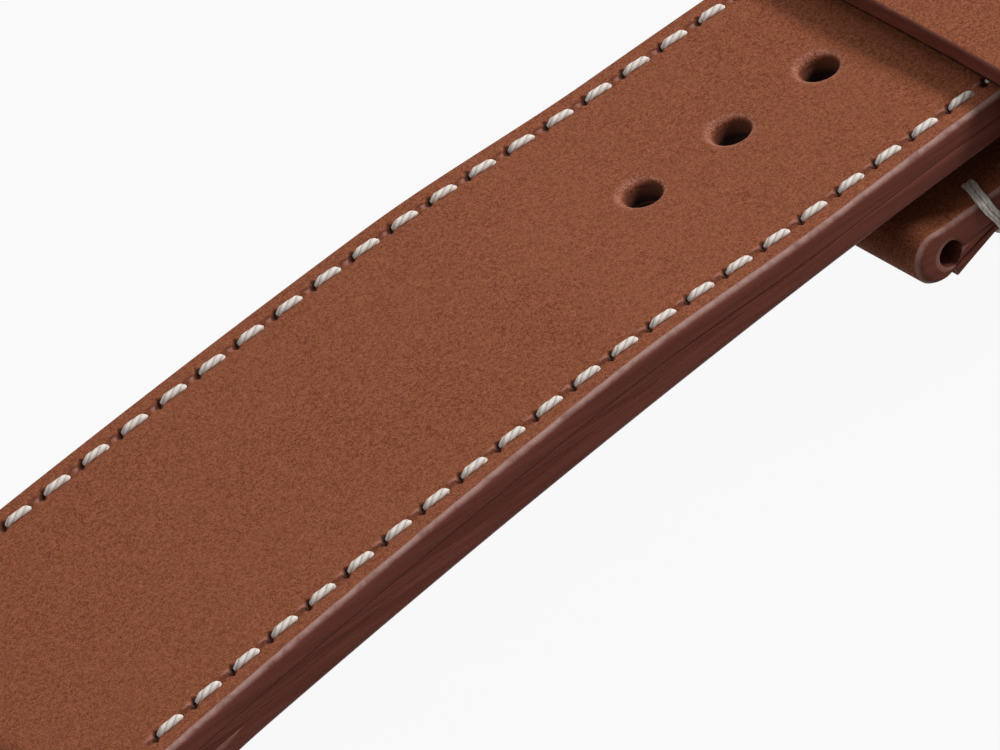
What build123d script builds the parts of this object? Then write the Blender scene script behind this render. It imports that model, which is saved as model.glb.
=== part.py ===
from build123d import *
import math
import os

# A two-piece leather watch strap, closed as on a wrist but with no buckle on its bar: the long
# piece's tail lies over the short piece, held down by a sewn keeper and a sliding keeper. The
# strap stands on the two leather rolls that go round the watch's spring bars. Millimetres, Z up,
# X from the long piece's spring bar towards the short piece's, origin on the floor midway
# between the two bars.

# The arch that both pieces are curved to, measured on the long piece's lining face
arch_radius = 524.0
bend_radius = 163.0
bend_start = 100.0

# Leathers
upper_thickness = 1.35
core_thickness = 0.69
long_lining_thickness = 1.32
short_lining_thickness = 0.95
stay_thickness = 0.2
stay_width = 8.0

# Long piece, with distances measured along the arch from its spring bar
long_length = 115.0
lug_width = 22.0
tip_width = 17.9
tip_length = 13.0
long_pad_end = 34.5
long_pad_fade = 15.2
long_stay_start = 9.0
long_stay_end = 104.0

# Short piece, with distances measured from its buckle bar
short_length = 75.0
buckle_bar_place = 55.8
buckle_width = 20.0
buckle_drop = 2.5
tail_gap = 0.4
rise_start = 13.7
rise_length = 13.5
short_pad_start = 45.0
short_pad_fade = 12.0
short_stay_start = 29.0
short_stay_end = 66.0

# Rolls round the two spring bars of the watch
lug_roll_radius = 1.85
lug_bore_radius = 0.95
fold_back = 5.0
core_clearance = 0.1
lining_clearance = 0.12

# Roll round the buckle's bar, with the bar's hole low and to the rear in it, and the lining's
# pared flap under it
buckle_roll_radius = 1.5
buckle_roll_lead = 0.85
buckle_roll_depth = 1.42
buckle_bore_depth = 1.76
buckle_bore_radius = 0.75
buckle_fold_back = 4.8
flap_start = 0.15
flap_depth = 3.36
flap_stop = 3.05
flap_clearance = 0.05
tongue_slot_width = 3.6
tongue_slot_rear = 5.0

# Adjustment holes in the tail
hole_count = 7
hole_radius = 1.0
hole_rim_radius = 1.2
hole_rim_slope = 45.0
first_hole = 45.1
hole_pitch = 6.1

# Seams: slanted awl slits, and a stitch of each thread from slit to slit
stitch_pitch = 2.6
seam_inset = 1.4
seam_start = 4.2
short_seam_start = 5.6
slit_length = 1.0
slit_width = 0.46
slit_slant = 50.0
thread_width = 0.42
thread_proud = 0.18
thread_clearance = 0.03
leg_radius = 0.15
leg_offset = 0.27

# Doubled whip stitch over each edge, behind the buckle bar
whip_place = 3.1
whip_inset = 1.95
whip_clearance = 0.08

# Keepers, and the tacks that close or hold them from below
keeper_thickness = 1.35
keeper_corner_radius = 1.6
keeper_inner_radius = 0.5
keeper_tail_gap = 0.3
keeper_crown = 0.3
fixed_keeper_place = 5.3
fixed_keeper_width = 7.0
fixed_keeper_half_room = 10.5
fixed_keeper_seat_gap = 0.02
free_keeper_place = 31.2
free_keeper_width = 6.0
free_keeper_half_room = 11.2
free_keeper_play = 0.3
keeper_butt_gap = 0.15
tack_span = 2.4
tack_spread = 3.2
tack_reach = 5.2
tack_leg = 0.6

# One overrun for every cut that goes right through
overrun = 6.0

# Heights over the long piece's lining face, and places that follow from the sizes above
long_core_top = long_lining_thickness + core_thickness
long_thin_top = long_lining_thickness + upper_thickness
long_pad_top = long_core_top + upper_thickness
long_pad_stop = long_pad_end + long_pad_fade
long_tip_start = long_length - tip_length
long_bar_height = long_pad_top - lug_roll_radius
short_lug = buckle_bar_place + short_length
short_bar_height = -tail_gap - lug_roll_radius
buckle_bar_height = -buckle_drop - buckle_bore_depth
rise_from = buckle_bar_place + rise_start
rise_to = rise_from + rise_length
short_pad_from = buckle_bar_place + short_pad_start
short_pad_to = short_pad_from + short_pad_fade


def arch_point(distance, height, bent=False, lean=0.0):
    """Point at a distance along the arch and a height over it, from the arch's centre."""
    if not bent or distance <= bend_start:
        angle = lean + distance / arch_radius
        reach = arch_radius + height
        return (reach * math.sin(angle), reach * math.cos(angle))
    turn = lean + bend_start / arch_radius
    angle = turn + (distance - bend_start) / bend_radius
    hub = arch_radius - bend_radius
    reach = bend_radius + height
    return (
        hub * math.sin(turn) + reach * math.sin(angle),
        hub * math.cos(turn) + reach * math.cos(angle),
    )


# The arch leans until both rolls stand on the floor
level_long = arch_point(0, long_bar_height)
level_short = arch_point(short_lug, short_bar_height, True)
arch_lean = math.atan2(level_short[1] - level_long[1], level_short[0] - level_long[0])
stood_long = arch_point(0, long_bar_height, False, arch_lean)
stood_short = arch_point(short_lug, short_bar_height, True, arch_lean)
arch_centre = (-(stood_long[0] + stood_short[0]) / 2, lug_roll_radius - stood_long[1])


def along(distance, height, bent=False):
    """X and Z of a point at a distance along the strap and a height over the arch."""
    x, z = arch_point(distance, height, bent, arch_lean)
    return (x + arch_centre[0], z + arch_centre[1])


def fade(distance, start, length):
    """From 0 to 1 over a length and flat at both ends, as ramp_line is."""
    share = min(max((distance - start) / length, 0), 1)
    return share * share * (3 - 2 * share)


def long_top(distance):
    """Height of the long piece's upper face."""
    return long_pad_top - core_thickness * fade(distance, long_pad_end, long_pad_fade)


def short_top(distance):
    """Height of the short piece's upper face."""
    return -buckle_drop + (buckle_drop - tail_gap) * fade(distance, rise_from, rise_length)


def short_bottom(distance):
    """Height of the short piece's lining face."""
    padding = core_thickness * fade(distance, short_pad_from, short_pad_fade)
    return short_top(distance) - upper_thickness - padding - short_lining_thickness


def long_half(distance):
    """Half of the long piece's width."""
    return (lug_width + (tip_width - lug_width) * distance / long_tip_start) / 2


def short_half(distance):
    """Half of the short piece's width."""
    share = (distance - buckle_bar_place) / short_length
    return (buckle_width + (lug_width - buckle_width) * share) / 2


def level_line(start, stop, height, bent):
    """Arc along the strap at one height."""
    middle = (start + stop) / 2
    ThreePointArc(along(start, height, bent), along(middle, height, bent), along(stop, height, bent))


def ramp_line(start, low, stop, high, bent):
    """Curve along the strap from one height to another, flat at both ends."""
    third = (stop - start) / 3
    Bezier(
        along(start, low, bent),
        along(start + third, low, bent),
        along(stop - third, high, bent),
        along(stop, high, bent),
    )


def strap_line(stations, bent=False):
    """Line through stations of distance and height, with level stretches split at the bend."""
    for (start, low), (stop, high) in zip(stations, stations[1:]):
        if low != high:
            ramp_line(start, low, stop, high, bent)
        elif bent and start < bend_start < stop:
            level_line(start, bend_start, low, bent)
            level_line(bend_start, stop, low, bent)
        else:
            level_line(start, stop, low, bent)


def layer_outline(lower, upper, bent=False):
    """Closed side outline of a layer between two lines of stations."""
    strap_line(lower, bent)
    strap_line(upper, bent)
    Line(along(*lower[0], bent), along(*upper[0], bent))
    Line(along(*lower[-1], bent), along(*upper[-1], bent))


def corners(stations, bent=False):
    """Corners of a polygon, from stations of distance and height."""
    return [along(distance, height, bent) for distance, height in stations]


def outward(distance, bent=False):
    """Directions along the strap and out of its upper face."""
    behind = along(distance - stitch_pitch, 0, bent)
    ahead = along(distance + stitch_pitch, 0, bent)
    forward = Vector(ahead[0] - behind[0], 0, ahead[1] - behind[1]).normalized()
    return forward, forward.cross(Vector(0, 1, 0))


def face_plane(distance, y, height, bent=False, heading=0.0):
    """Plane on the strap's upper face, its x turned by a heading from the strap's length."""
    x, z = along(distance, height, bent)
    forward, out = outward(distance, bent)
    turn = math.radians(heading)
    direction = forward * math.cos(turn) + Vector(0, 1, 0) * math.sin(turn)
    return Plane(origin=(x, y, z), x_dir=direction, z_dir=out)


def under_plane(distance, y, height):
    """Plane on the strap's underside, its x across the strap and its z downwards."""
    x, z = along(distance, height)
    return Plane(origin=(x, y, z), x_dir=(0, 1, 0), z_dir=-outward(distance)[1])


# Plan of the long piece
long_bar_point = along(0, long_bar_height)
long_front_x = long_bar_point[0] - lug_roll_radius - overrun
tip_start_x = along(long_tip_start, 0)[0]
tip_reach = along(long_length, 0)[0] - tip_start_x
with BuildSketch() as long_plan:
    with BuildLine():
        Polyline(
            (tip_start_x, tip_width / 2),
            (long_bar_point[0], lug_width / 2),
            (long_front_x, lug_width / 2),
            (long_front_x, -lug_width / 2),
            (long_bar_point[0], -lug_width / 2),
            (tip_start_x, -tip_width / 2),
        )
        EllipticalCenterArc((tip_start_x, 0), tip_reach, tip_width / 2, start_angle=-90, arc_size=180)
    make_face()

# Plan of the short piece, with the slot for the buckle's tongue
short_bar_point = along(short_lug, short_bar_height, True)
buckle_bar_point = along(buckle_bar_place, buckle_bar_height)
buckle_front_x = buckle_bar_point[0] - buckle_roll_lead - buckle_roll_radius - overrun
short_rear_x = short_bar_point[0] + lug_roll_radius + overrun
with BuildSketch() as short_plan:
    with BuildLine():
        Polyline(
            (buckle_front_x, buckle_width / 2),
            (buckle_bar_point[0], buckle_width / 2),
            (short_bar_point[0], lug_width / 2),
            (short_rear_x, lug_width / 2),
            (short_rear_x, -lug_width / 2),
            (short_bar_point[0], -lug_width / 2),
            (buckle_bar_point[0], -buckle_width / 2),
            (buckle_front_x, -buckle_width / 2),
            close=True,
        )
    make_face()
    with Locations((buckle_front_x, 0)):
        SlotOverall(
            2 * (buckle_bar_point[0] + tongue_slot_rear - buckle_front_x),
            tongue_slot_width,
            mode=Mode.SUBTRACT,
        )


def slits_of(seam):
    """Places of a seam's slits, as distance, y and heading, evenly spaced along it."""
    wire = seam.wire()
    count = round(wire.length / stitch_pitch)
    places = []
    for index in range(count + 1):
        run = wire.length * index / count
        point = wire.position_at(run, position_mode=PositionMode.LENGTH)
        heading = wire.tangent_angle_at(run, position_mode=PositionMode.LENGTH)
        places.append((point.X, point.Y, heading))
    return places


# Seams, laid out flat as distance along the strap and y: one round the long piece, and one
# along each edge of the short piece
long_row = tip_width / 2 - seam_inset
with BuildLine() as long_seam:
    Line((seam_start, seam_inset - long_half(seam_start)), (long_tip_start, -long_row))
    EllipticalCenterArc(
        (long_tip_start, 0), tip_length - seam_inset, long_row, start_angle=-90, arc_size=180
    )
    Line((long_tip_start, long_row), (seam_start, long_half(seam_start) - seam_inset))
long_slits = slits_of(long_seam)

short_seam_from = buckle_bar_place + short_seam_start
short_seam_to = short_lug - seam_start
short_slits = {}
for side, edge in (("near", -1), ("far", 1)):
    with BuildLine() as short_seam:
        Line(
            (short_seam_from, edge * (short_half(short_seam_from) - seam_inset)),
            (short_seam_to, edge * (short_half(short_seam_to) - seam_inset)),
        )
    short_slits[side] = slits_of(short_seam)


def stitch_ends(slits):
    """Flat end points of each stitch, from the far end of one slit to the near end of the next."""
    ends = []
    for here, there in zip(slits, slits[1:]):
        lead = math.radians(here[2] + slit_slant)
        trail = math.radians(there[2] + slit_slant)
        start = (here[0] + leg_offset * math.cos(lead), here[1] + leg_offset * math.sin(lead))
        stop = (there[0] - leg_offset * math.cos(trail), there[1] - leg_offset * math.sin(trail))
        ends.append((start, stop))
    return ends


def stitch_planes(slits, height_at, bent, facing):
    """Plane through each stitch's middle, its x along the stitch and its z facing out or in."""
    planes = []
    for start, stop in stitch_ends(slits):
        x0, z0 = along(start[0], height_at(start[0]), bent)
        x1, z1 = along(stop[0], height_at(stop[0]), bent)
        middle = ((x0 + x1) / 2, (start[1] + stop[1]) / 2, (z0 + z1) / 2)
        direction = Vector(x1 - x0, stop[1] - start[1], z1 - z0).normalized()
        out = outward((start[0] + stop[0]) / 2, bent)[1] * facing
        out = (out - direction * out.dot(direction)).normalized()
        planes.append(Plane(origin=middle, x_dir=direction, z_dir=out))
    return planes


def leg_planes(slits, height_at, bent, facing):
    """Plane at both ends of each stitch, square to the arch, that its legs go in from."""
    planes = []
    for ends in stitch_ends(slits):
        for distance, y in ends:
            plane = face_plane(distance, y, height_at(distance), bent)
            planes.append(Plane(origin=plane.origin, x_dir=plane.x_dir, z_dir=plane.z_dir * facing))
    return planes


def seam_cuts(slits, planes, height_at, bent):
    """Slits right through the leather, and the dents that the stitches lie in, as one part."""
    span = math.dist(*stitch_ends(slits)[0])
    dent = thread_width / 2 + thread_clearance
    slit_planes = [
        face_plane(distance, y, height_at(distance), bent, heading + slit_slant)
        for distance, y, heading in slits
    ]
    with BuildPart() as cuts:
        with BuildSketch(*slit_planes):
            SlotOverall(slit_length, slit_width)
        extrude(amount=overrun, both=True)
        with BuildSketch(*[plane.offset(-dent) for plane in planes]):
            SlotCenterToCenter(span, 2 * dent)
        extrude(amount=dent + thread_width)
    return cuts.part


def crown(span, room=0):
    """The visible run of one stitch, round in section, along X with its middle at the origin."""
    with BuildPart() as piece:
        with BuildSketch(Plane.XZ):
            SlotCenterToCenter(span, thread_width + 2 * room)
            Rectangle(
                2 * span, thread_width, align=(Align.CENTER, Align.MIN), mode=Mode.INTERSECT
            )
        revolve(axis=Axis.X)
    return piece.part


def tack(span, leg, room=0):
    """One tacking stitch: a crown with a leg straight down at each end."""
    with BuildPart() as piece:
        add(crown(span, room))
        with BuildSketch():
            with Locations((-span / 2, 0), (span / 2, 0)):
                Circle(leg_radius + room)
        extrude(amount=-leg - room)
    return piece.part


# Threads of the seams, as their slits, the planes of their stitches and those of their legs,
# all through the middle of the thread
proud_axis = thread_proud - thread_width / 2
sunk_axis = thread_width / 2
seams = {}
cuts = {"long": [], "short": []}
for piece_name, seam_name, slits, top_at, bottom_at in (
    ("long", "long", long_slits, long_top, lambda run: 0),
    ("short", "short_near", short_slits["near"], short_top, short_bottom),
    ("short", "short_far", short_slits["far"], short_top, short_bottom),
):
    bent = piece_name == "short"
    axes = {
        "top": (lambda run: top_at(run) + proud_axis, 1),
        "bobbin": (lambda run: bottom_at(run) + sunk_axis, -1),
    }
    both_planes = []
    for thread_name, (axis_at, facing) in axes.items():
        planes = stitch_planes(slits, axis_at, bent, facing)
        legs = leg_planes(slits, axis_at, bent, facing)
        seams[f"{seam_name}_{thread_name}_thread"] = (slits, planes, legs)
        both_planes += planes
    cuts[piece_name].append(seam_cuts(slits, both_planes, top_at, bent))

# Adjustment holes, from the upper face down
hole_planes = []
for index in range(hole_count):
    hole_place = first_hole + hole_pitch * index
    hole_planes.append(face_plane(hole_place, 0, long_top(hole_place)))
rim_depth = hole_rim_radius - hole_radius

# Lines of the long piece's layers, as stations of distance and height
long_past_tip = long_length + overrun
long_top_line = [
    (0, long_pad_top),
    (long_pad_end, long_pad_top),
    (long_pad_stop, long_thin_top),
    (long_past_tip, long_thin_top),
]
long_core_line = [
    (0, long_core_top),
    (long_pad_end, long_core_top),
    (long_pad_stop, long_lining_thickness),
    (long_past_tip, long_lining_thickness),
]
long_roll_bottom = long_bar_height - lug_roll_radius
long_pared = fold_back * -long_roll_bottom / (long_lining_thickness - long_roll_bottom)

# Upper leather of the long piece, folded back round the spring bar
with BuildPart() as long_upper:
    with BuildSketch(Plane.XZ):
        with BuildLine():
            layer_outline(long_core_line, long_top_line)
        make_face()
        with Locations(long_bar_point):
            Circle(lug_roll_radius)
        long_fold = [
            (0, long_roll_bottom),
            (fold_back, long_lining_thickness),
            (fold_back, long_pad_top - upper_thickness / 2),
            (0, long_pad_top - upper_thickness / 2),
        ]
        Polygon(*corners(long_fold), align=None)
        with Locations(long_bar_point):
            Circle(lug_bore_radius, mode=Mode.SUBTRACT)
    extrude(amount=lug_width / 2, both=True)
    extrude(long_plan.sketch, amount=arch_radius, both=True, mode=Mode.INTERSECT)
    add(cuts["long"], mode=Mode.SUBTRACT)
    with Locations(*hole_planes):
        Hole(hole_radius, overrun)
    with BuildSketch(*[plane.offset(-rim_depth) for plane in hole_planes]):
        Circle(hole_radius)
    extrude(amount=2 * rim_depth, taper=-hole_rim_slope, mode=Mode.SUBTRACT)
long_upper.part.label = "long_upper"

# Stay tape of the long piece, let into the lining's upper face
long_stay_bottom = long_lining_thickness - stay_thickness
with BuildPart() as long_stay:
    with BuildSketch(Plane.XZ):
        with BuildLine():
            layer_outline(
                [(long_stay_start, long_stay_bottom), (long_stay_end, long_stay_bottom)],
                [(long_stay_start, long_lining_thickness), (long_stay_end, long_lining_thickness)],
            )
        make_face()
    extrude(amount=stay_width / 2, both=True)
    with Locations(*hole_planes):
        Hole(hole_radius, overrun)
long_stay.part.label = "long_stay"

# Lining of the long piece, pared away where the upper leather folds back
with BuildPart() as long_lining:
    with BuildSketch(Plane.XZ):
        with BuildLine():
            layer_outline(
                [(long_pared + lining_clearance, 0), (long_past_tip, 0)],
                [
                    (fold_back + lining_clearance, long_lining_thickness),
                    (long_past_tip, long_lining_thickness),
                ],
            )
        make_face()
    extrude(amount=lug_width / 2, both=True)
    extrude(long_plan.sketch, amount=arch_radius, both=True, mode=Mode.INTERSECT)
    add(long_stay.part, mode=Mode.SUBTRACT)
    add(cuts["long"], mode=Mode.SUBTRACT)
    with Locations(*hole_planes):
        Hole(hole_radius, overrun)
long_lining.part.label = "long_lining"

# Padding of the long piece, pared to nothing towards the tail
core_from = fold_back + core_clearance
with BuildPart() as long_core:
    with BuildSketch(Plane.XZ):
        with BuildLine():
            strap_line([(core_from, long_lining_thickness), (long_pad_stop, long_lining_thickness)])
            strap_line([(core_from, long_core_top), *long_core_line[1:3]])
            Line(along(core_from, long_lining_thickness), along(core_from, long_core_top))
        make_face()
    extrude(amount=lug_width / 2, both=True)
    extrude(long_plan.sketch, amount=arch_radius, both=True, mode=Mode.INTERSECT)
    add(cuts["long"], mode=Mode.SUBTRACT)
    with Locations(*hole_planes):
        Hole(hole_radius, overrun)
long_core.part.label = "long_core"

# Lines of the short piece's layers, as stations of distance and height
short_seat = -tail_gap - upper_thickness
short_core_bottom = short_seat - core_thickness
short_face = short_core_bottom - short_lining_thickness
short_thin_face = short_seat - short_lining_thickness
buckle_seat = -buckle_drop - upper_thickness
buckle_face = buckle_seat - short_lining_thickness
short_top_line = [
    (buckle_bar_place, -buckle_drop),
    (rise_from, -buckle_drop),
    (rise_to, -tail_gap),
    (short_lug, -tail_gap),
]
short_seat_line = [(distance, height - upper_thickness) for distance, height in short_top_line]
fold_end = short_lug - fold_back
core_to = fold_end - core_clearance
short_roll_bottom = short_bar_height - lug_roll_radius
short_pared_share = (short_face - short_roll_bottom) / (short_core_bottom - short_roll_bottom)
short_pared = short_lug - fold_back * short_pared_share - lining_clearance
buckle_roll_place = buckle_bar_place - buckle_roll_lead
buckle_roll_height = -buckle_drop - buckle_roll_depth
buckle_roll_bottom = buckle_roll_height - buckle_roll_radius
buckle_fold_end = buckle_bar_place + buckle_fold_back
flap_end = buckle_bar_place + flap_start
fold_slope_share = (flap_end - buckle_roll_place) / (buckle_fold_end - buckle_roll_place)
flap_top = buckle_roll_bottom + fold_slope_share * (buckle_seat - buckle_roll_bottom) - flap_clearance

# Doubled whip stitches and their holes, across the strap
whip_at = buckle_bar_place + whip_place
whip_slope = (buckle_face + buckle_drop + flap_depth) / (flap_stop - flap_start)
whip_overhang = max(flap_stop - whip_place + thread_width, 0)
whip_axis = whip_clearance + thread_width / 2
whip_inner = short_half(whip_at) - whip_inset
whip_outer = short_half(whip_at) + whip_axis
whip_top = whip_axis - buckle_drop
whip_bottom = buckle_face - whip_slope * whip_overhang - whip_axis
with BuildPart() as whip_holes:
    with BuildSketch(*[face_plane(whip_at, edge * whip_inner, -buckle_drop) for edge in (-1, 1)]):
        SlotOverall(2 * thread_width + 3 * whip_clearance, 2 * whip_axis)
    extrude(amount=overrun, both=True)

# Upper leather of the short piece, folded back round the buckle bar and the spring bar
with BuildPart() as short_upper:
    with BuildSketch(Plane.XZ):
        with BuildLine():
            layer_outline(short_seat_line, short_top_line, True)
        make_face()
        with Locations(short_bar_point):
            Circle(lug_roll_radius)
        lug_fold = [
            (short_lug, short_roll_bottom),
            (fold_end, short_core_bottom),
            (fold_end, short_seat + upper_thickness / 2),
            (short_lug, short_seat + upper_thickness / 2),
        ]
        Polygon(*corners(lug_fold, True), align=None)
        with Locations(short_bar_point):
            Circle(lug_bore_radius, mode=Mode.SUBTRACT)
        with Locations(along(buckle_roll_place, buckle_roll_height)):
            Circle(buckle_roll_radius)
        buckle_fold = [
            (buckle_roll_place, buckle_roll_bottom),
            (buckle_fold_end, buckle_seat),
            (buckle_bar_place, -buckle_drop),
            (buckle_roll_place, buckle_roll_height + buckle_roll_radius),
        ]
        Polygon(*corners(buckle_fold), align=None)
        with Locations(buckle_bar_point):
            Circle(buckle_bore_radius, mode=Mode.SUBTRACT)
    extrude(amount=lug_width / 2, both=True)
    extrude(short_plan.sketch, amount=arch_radius, both=True, mode=Mode.INTERSECT)
    add(cuts["short"], mode=Mode.SUBTRACT)
    add(whip_holes.part, mode=Mode.SUBTRACT)
short_upper.part.label = "short_upper"

# Stay tape of the short piece, let into the lining's upper face
stay_from = buckle_bar_place + short_stay_start
stay_to = buckle_bar_place + short_stay_end
stay_line = [
    (stay_from, short_seat),
    (short_pad_from, short_seat),
    (short_pad_to, short_core_bottom),
    (stay_to, short_core_bottom),
]
with BuildPart() as short_stay:
    with BuildSketch(Plane.XZ):
        with BuildLine():
            layer_outline(
                [(distance, height - stay_thickness) for distance, height in stay_line],
                stay_line,
                True,
            )
        make_face()
    extrude(amount=stay_width / 2, both=True)
short_stay.part.label = "short_stay"

# Stitches that tack the fixed keeper to the short piece and close the free keeper's butt joint
fixed_from = buckle_bar_place + fixed_keeper_place
free_from = buckle_bar_place + free_keeper_place
keeper_top = long_thin_top + keeper_tail_gap
fixed_floor = buckle_face - fixed_keeper_seat_gap
free_floor = short_thin_face - free_keeper_play
fixed_tacks = []
free_tacks = []
for offset in (-tack_spread / 2, tack_spread / 2):
    fixed_place = fixed_from + fixed_keeper_width / 2 + offset
    for y in (-tack_reach, tack_reach):
        fixed_tacks.append(under_plane(fixed_place, y, fixed_floor - keeper_thickness - proud_axis))
    free_place = free_from + free_keeper_width / 2 + offset
    free_tacks.append(under_plane(free_place, 0, free_floor - keeper_thickness - proud_axis))
fixed_leg = keeper_thickness + fixed_keeper_seat_gap + tack_leg

# Lining of the short piece, pared to a flap under the buckle's roll
with BuildPart() as short_lining:
    with BuildSketch(Plane.XZ):
        with BuildLine():
            layer_outline(
                [
                    (buckle_bar_place + flap_stop, buckle_face),
                    (rise_from, buckle_face),
                    (rise_to, short_thin_face),
                    (short_pad_from, short_thin_face),
                    (short_pad_to, short_face),
                    (short_pared, short_face),
                ],
                [
                    (buckle_fold_end + lining_clearance, buckle_seat),
                    (rise_from, buckle_seat),
                    (rise_to, short_seat),
                    (short_pad_from, short_seat),
                    (short_pad_to, short_core_bottom),
                    (fold_end - lining_clearance, short_core_bottom),
                ],
                True,
            )
        make_face()
        flap = [
            (flap_end, -buckle_drop - flap_depth),
            (buckle_bar_place + flap_stop, buckle_face),
            (buckle_fold_end + lining_clearance, buckle_seat),
            (flap_end, flap_top),
        ]
        Polygon(*corners(flap), align=None)
    extrude(amount=lug_width / 2, both=True)
    extrude(short_plan.sketch, amount=arch_radius, both=True, mode=Mode.INTERSECT)
    add(short_stay.part, mode=Mode.SUBTRACT)
    add(cuts["short"], mode=Mode.SUBTRACT)
    add(whip_holes.part, mode=Mode.SUBTRACT)
    with Locations(*fixed_tacks):
        add(tack(tack_span, fixed_leg, thread_clearance), mode=Mode.SUBTRACT)
short_lining.part.label = "short_lining"

# Padding of the short piece
with BuildPart() as short_core:
    with BuildSketch(Plane.XZ):
        with BuildLine():
            strap_line([(short_pad_from, short_seat), (core_to, short_seat)], True)
            strap_line(
                [
                    (short_pad_from, short_seat),
                    (short_pad_to, short_core_bottom),
                    (core_to, short_core_bottom),
                ],
                True,
            )
            Line(along(core_to, short_seat, True), along(core_to, short_core_bottom, True))
        make_face()
    extrude(amount=lug_width / 2, both=True)
    extrude(short_plan.sketch, amount=arch_radius, both=True, mode=Mode.INTERSECT)
    add(cuts["short"], mode=Mode.SUBTRACT)
short_core.part.label = "short_core"


def keeper_outline(half, top, bottom, radius):
    """Rounded outline of a keeper, inside or outside, with a crowned top."""
    with BuildSketch() as outline:
        with BuildLine():
            Polyline((-half, top), (-half, bottom), (half, bottom), (half, top))
            ThreePointArc((half, top), (0, top + keeper_crown), (-half, top))
        make_face()
        fillet(outline.vertices(), radius)
    return outline.sketch


def keeper_section(start):
    """Plane square to the strap at a keeper's front, its y outwards."""
    x, z = along(start, 0)
    return Plane(origin=(x, 0, z), x_dir=(0, 1, 0), z_dir=outward(start)[0])


# Fixed keeper, a closed band round the tail and the short piece that it is sewn to
arch_axis = Axis((arch_centre[0], 0, arch_centre[1]), (0, 1, 0))
fixed_inside = keeper_outline(fixed_keeper_half_room, keeper_top, fixed_floor, keeper_inner_radius)
fixed_outside = keeper_outline(
    fixed_keeper_half_room + keeper_thickness,
    keeper_top + keeper_thickness,
    fixed_floor - keeper_thickness,
    keeper_corner_radius,
)
with BuildPart() as fixed_keeper:
    with BuildSketch(keeper_section(fixed_from)):
        add(fixed_outside)
        add(fixed_inside, mode=Mode.SUBTRACT)
    revolve(axis=arch_axis, revolution_arc=math.degrees(fixed_keeper_width / arch_radius))
    with Locations(*fixed_tacks):
        add(tack(tack_span, fixed_leg, thread_clearance), mode=Mode.SUBTRACT)
fixed_keeper.part.label = "fixed_keeper"

# Free keeper, a band with a butt joint below, that slides along the tail and the short piece
free_inside = keeper_outline(free_keeper_half_room, keeper_top, free_floor, keeper_inner_radius)
free_outside = keeper_outline(
    free_keeper_half_room + keeper_thickness,
    keeper_top + keeper_thickness,
    free_floor - keeper_thickness,
    keeper_corner_radius,
)
with BuildPart() as free_keeper:
    with BuildSketch(keeper_section(free_from)):
        add(free_outside)
        add(free_inside, mode=Mode.SUBTRACT)
        with Locations((0, free_floor - keeper_thickness / 2)):
            Rectangle(keeper_butt_gap, 2 * keeper_thickness, mode=Mode.SUBTRACT)
    revolve(axis=arch_axis, revolution_arc=math.degrees(free_keeper_width / arch_radius))
    with Locations(*free_tacks):
        add(tack(tack_span, tack_leg, thread_clearance), mode=Mode.SUBTRACT)
free_keeper.part.label = "free_keeper"

# Threads, each made of the same stitch at all its places
leg_spare = thread_proud / 2 + thread_width / 2 + thread_clearance
long_leg = long_thin_top / 2 - leg_spare
short_leg = (upper_thickness + short_lining_thickness) / 2 - leg_spare
pieces = []
for name, (slits, planes, legs) in seams.items():
    seam_crown = crown(math.dist(*stitch_ends(slits)[0]))
    with BuildPart() as thread:
        with Locations(*planes):
            add(seam_crown)
        with BuildSketch(*legs):
            Circle(leg_radius)
        extrude(amount=-long_leg if name.startswith("long") else -short_leg)
    thread.part.label = name
    pieces.append(thread)

for name, leg, planes in (
    ("keeper_tack_thread", fixed_leg, fixed_tacks),
    ("free_keeper_thread", tack_leg, free_tacks),
):
    tack_stitch = tack(tack_span, leg)
    with BuildPart() as thread:
        with Locations(*planes):
            add(tack_stitch)
    thread.part.label = name
    pieces.append(thread)

# Whip stitches: two strands side by side round each edge of the short piece
whip_half = (whip_outer - whip_inner) / 2
whip_size = (2 * whip_half, whip_top - whip_bottom)
for side, edge in (("near", -1), ("far", 1)):
    with BuildPart() as thread:
        for offset in (-thread_width, thread_width):
            place = whip_at + offset / 2 + math.copysign(thread_clearance, offset)
            x, z = along(place, (whip_top + whip_bottom) / 2)
            middle = (x, edge * (whip_inner + whip_half), z)
            across = Plane(origin=middle, x_dir=(0, 1, 0), z_dir=outward(place)[0])
            with BuildSketch(across, mode=Mode.PRIVATE) as ring:
                RectangleRounded(*whip_size, thread_width)
            path = ring.sketch.wire()
            start = Plane(origin=path @ 0, z_dir=path % 0)
            with BuildSketch(start):
                Circle(thread_width / 2)
            sweep(path=path)
    thread.part.label = f"buckle_tack_{side}"
    pieces.append(thread)

pieces += [long_upper, long_stay, long_lining, long_core]
pieces += [short_upper, short_stay, short_lining, short_core, fixed_keeper, free_keeper]

os.makedirs("parts", exist_ok=True)
for piece in pieces:
    export_step(piece.part, f"parts/{piece.part.label}.step")
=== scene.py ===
import math

import bmesh
import bpy
import numpy as np
from bpy.props import FloatProperty, FloatVectorProperty, IntProperty, PointerProperty
from mathutils import Matrix, Vector


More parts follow.
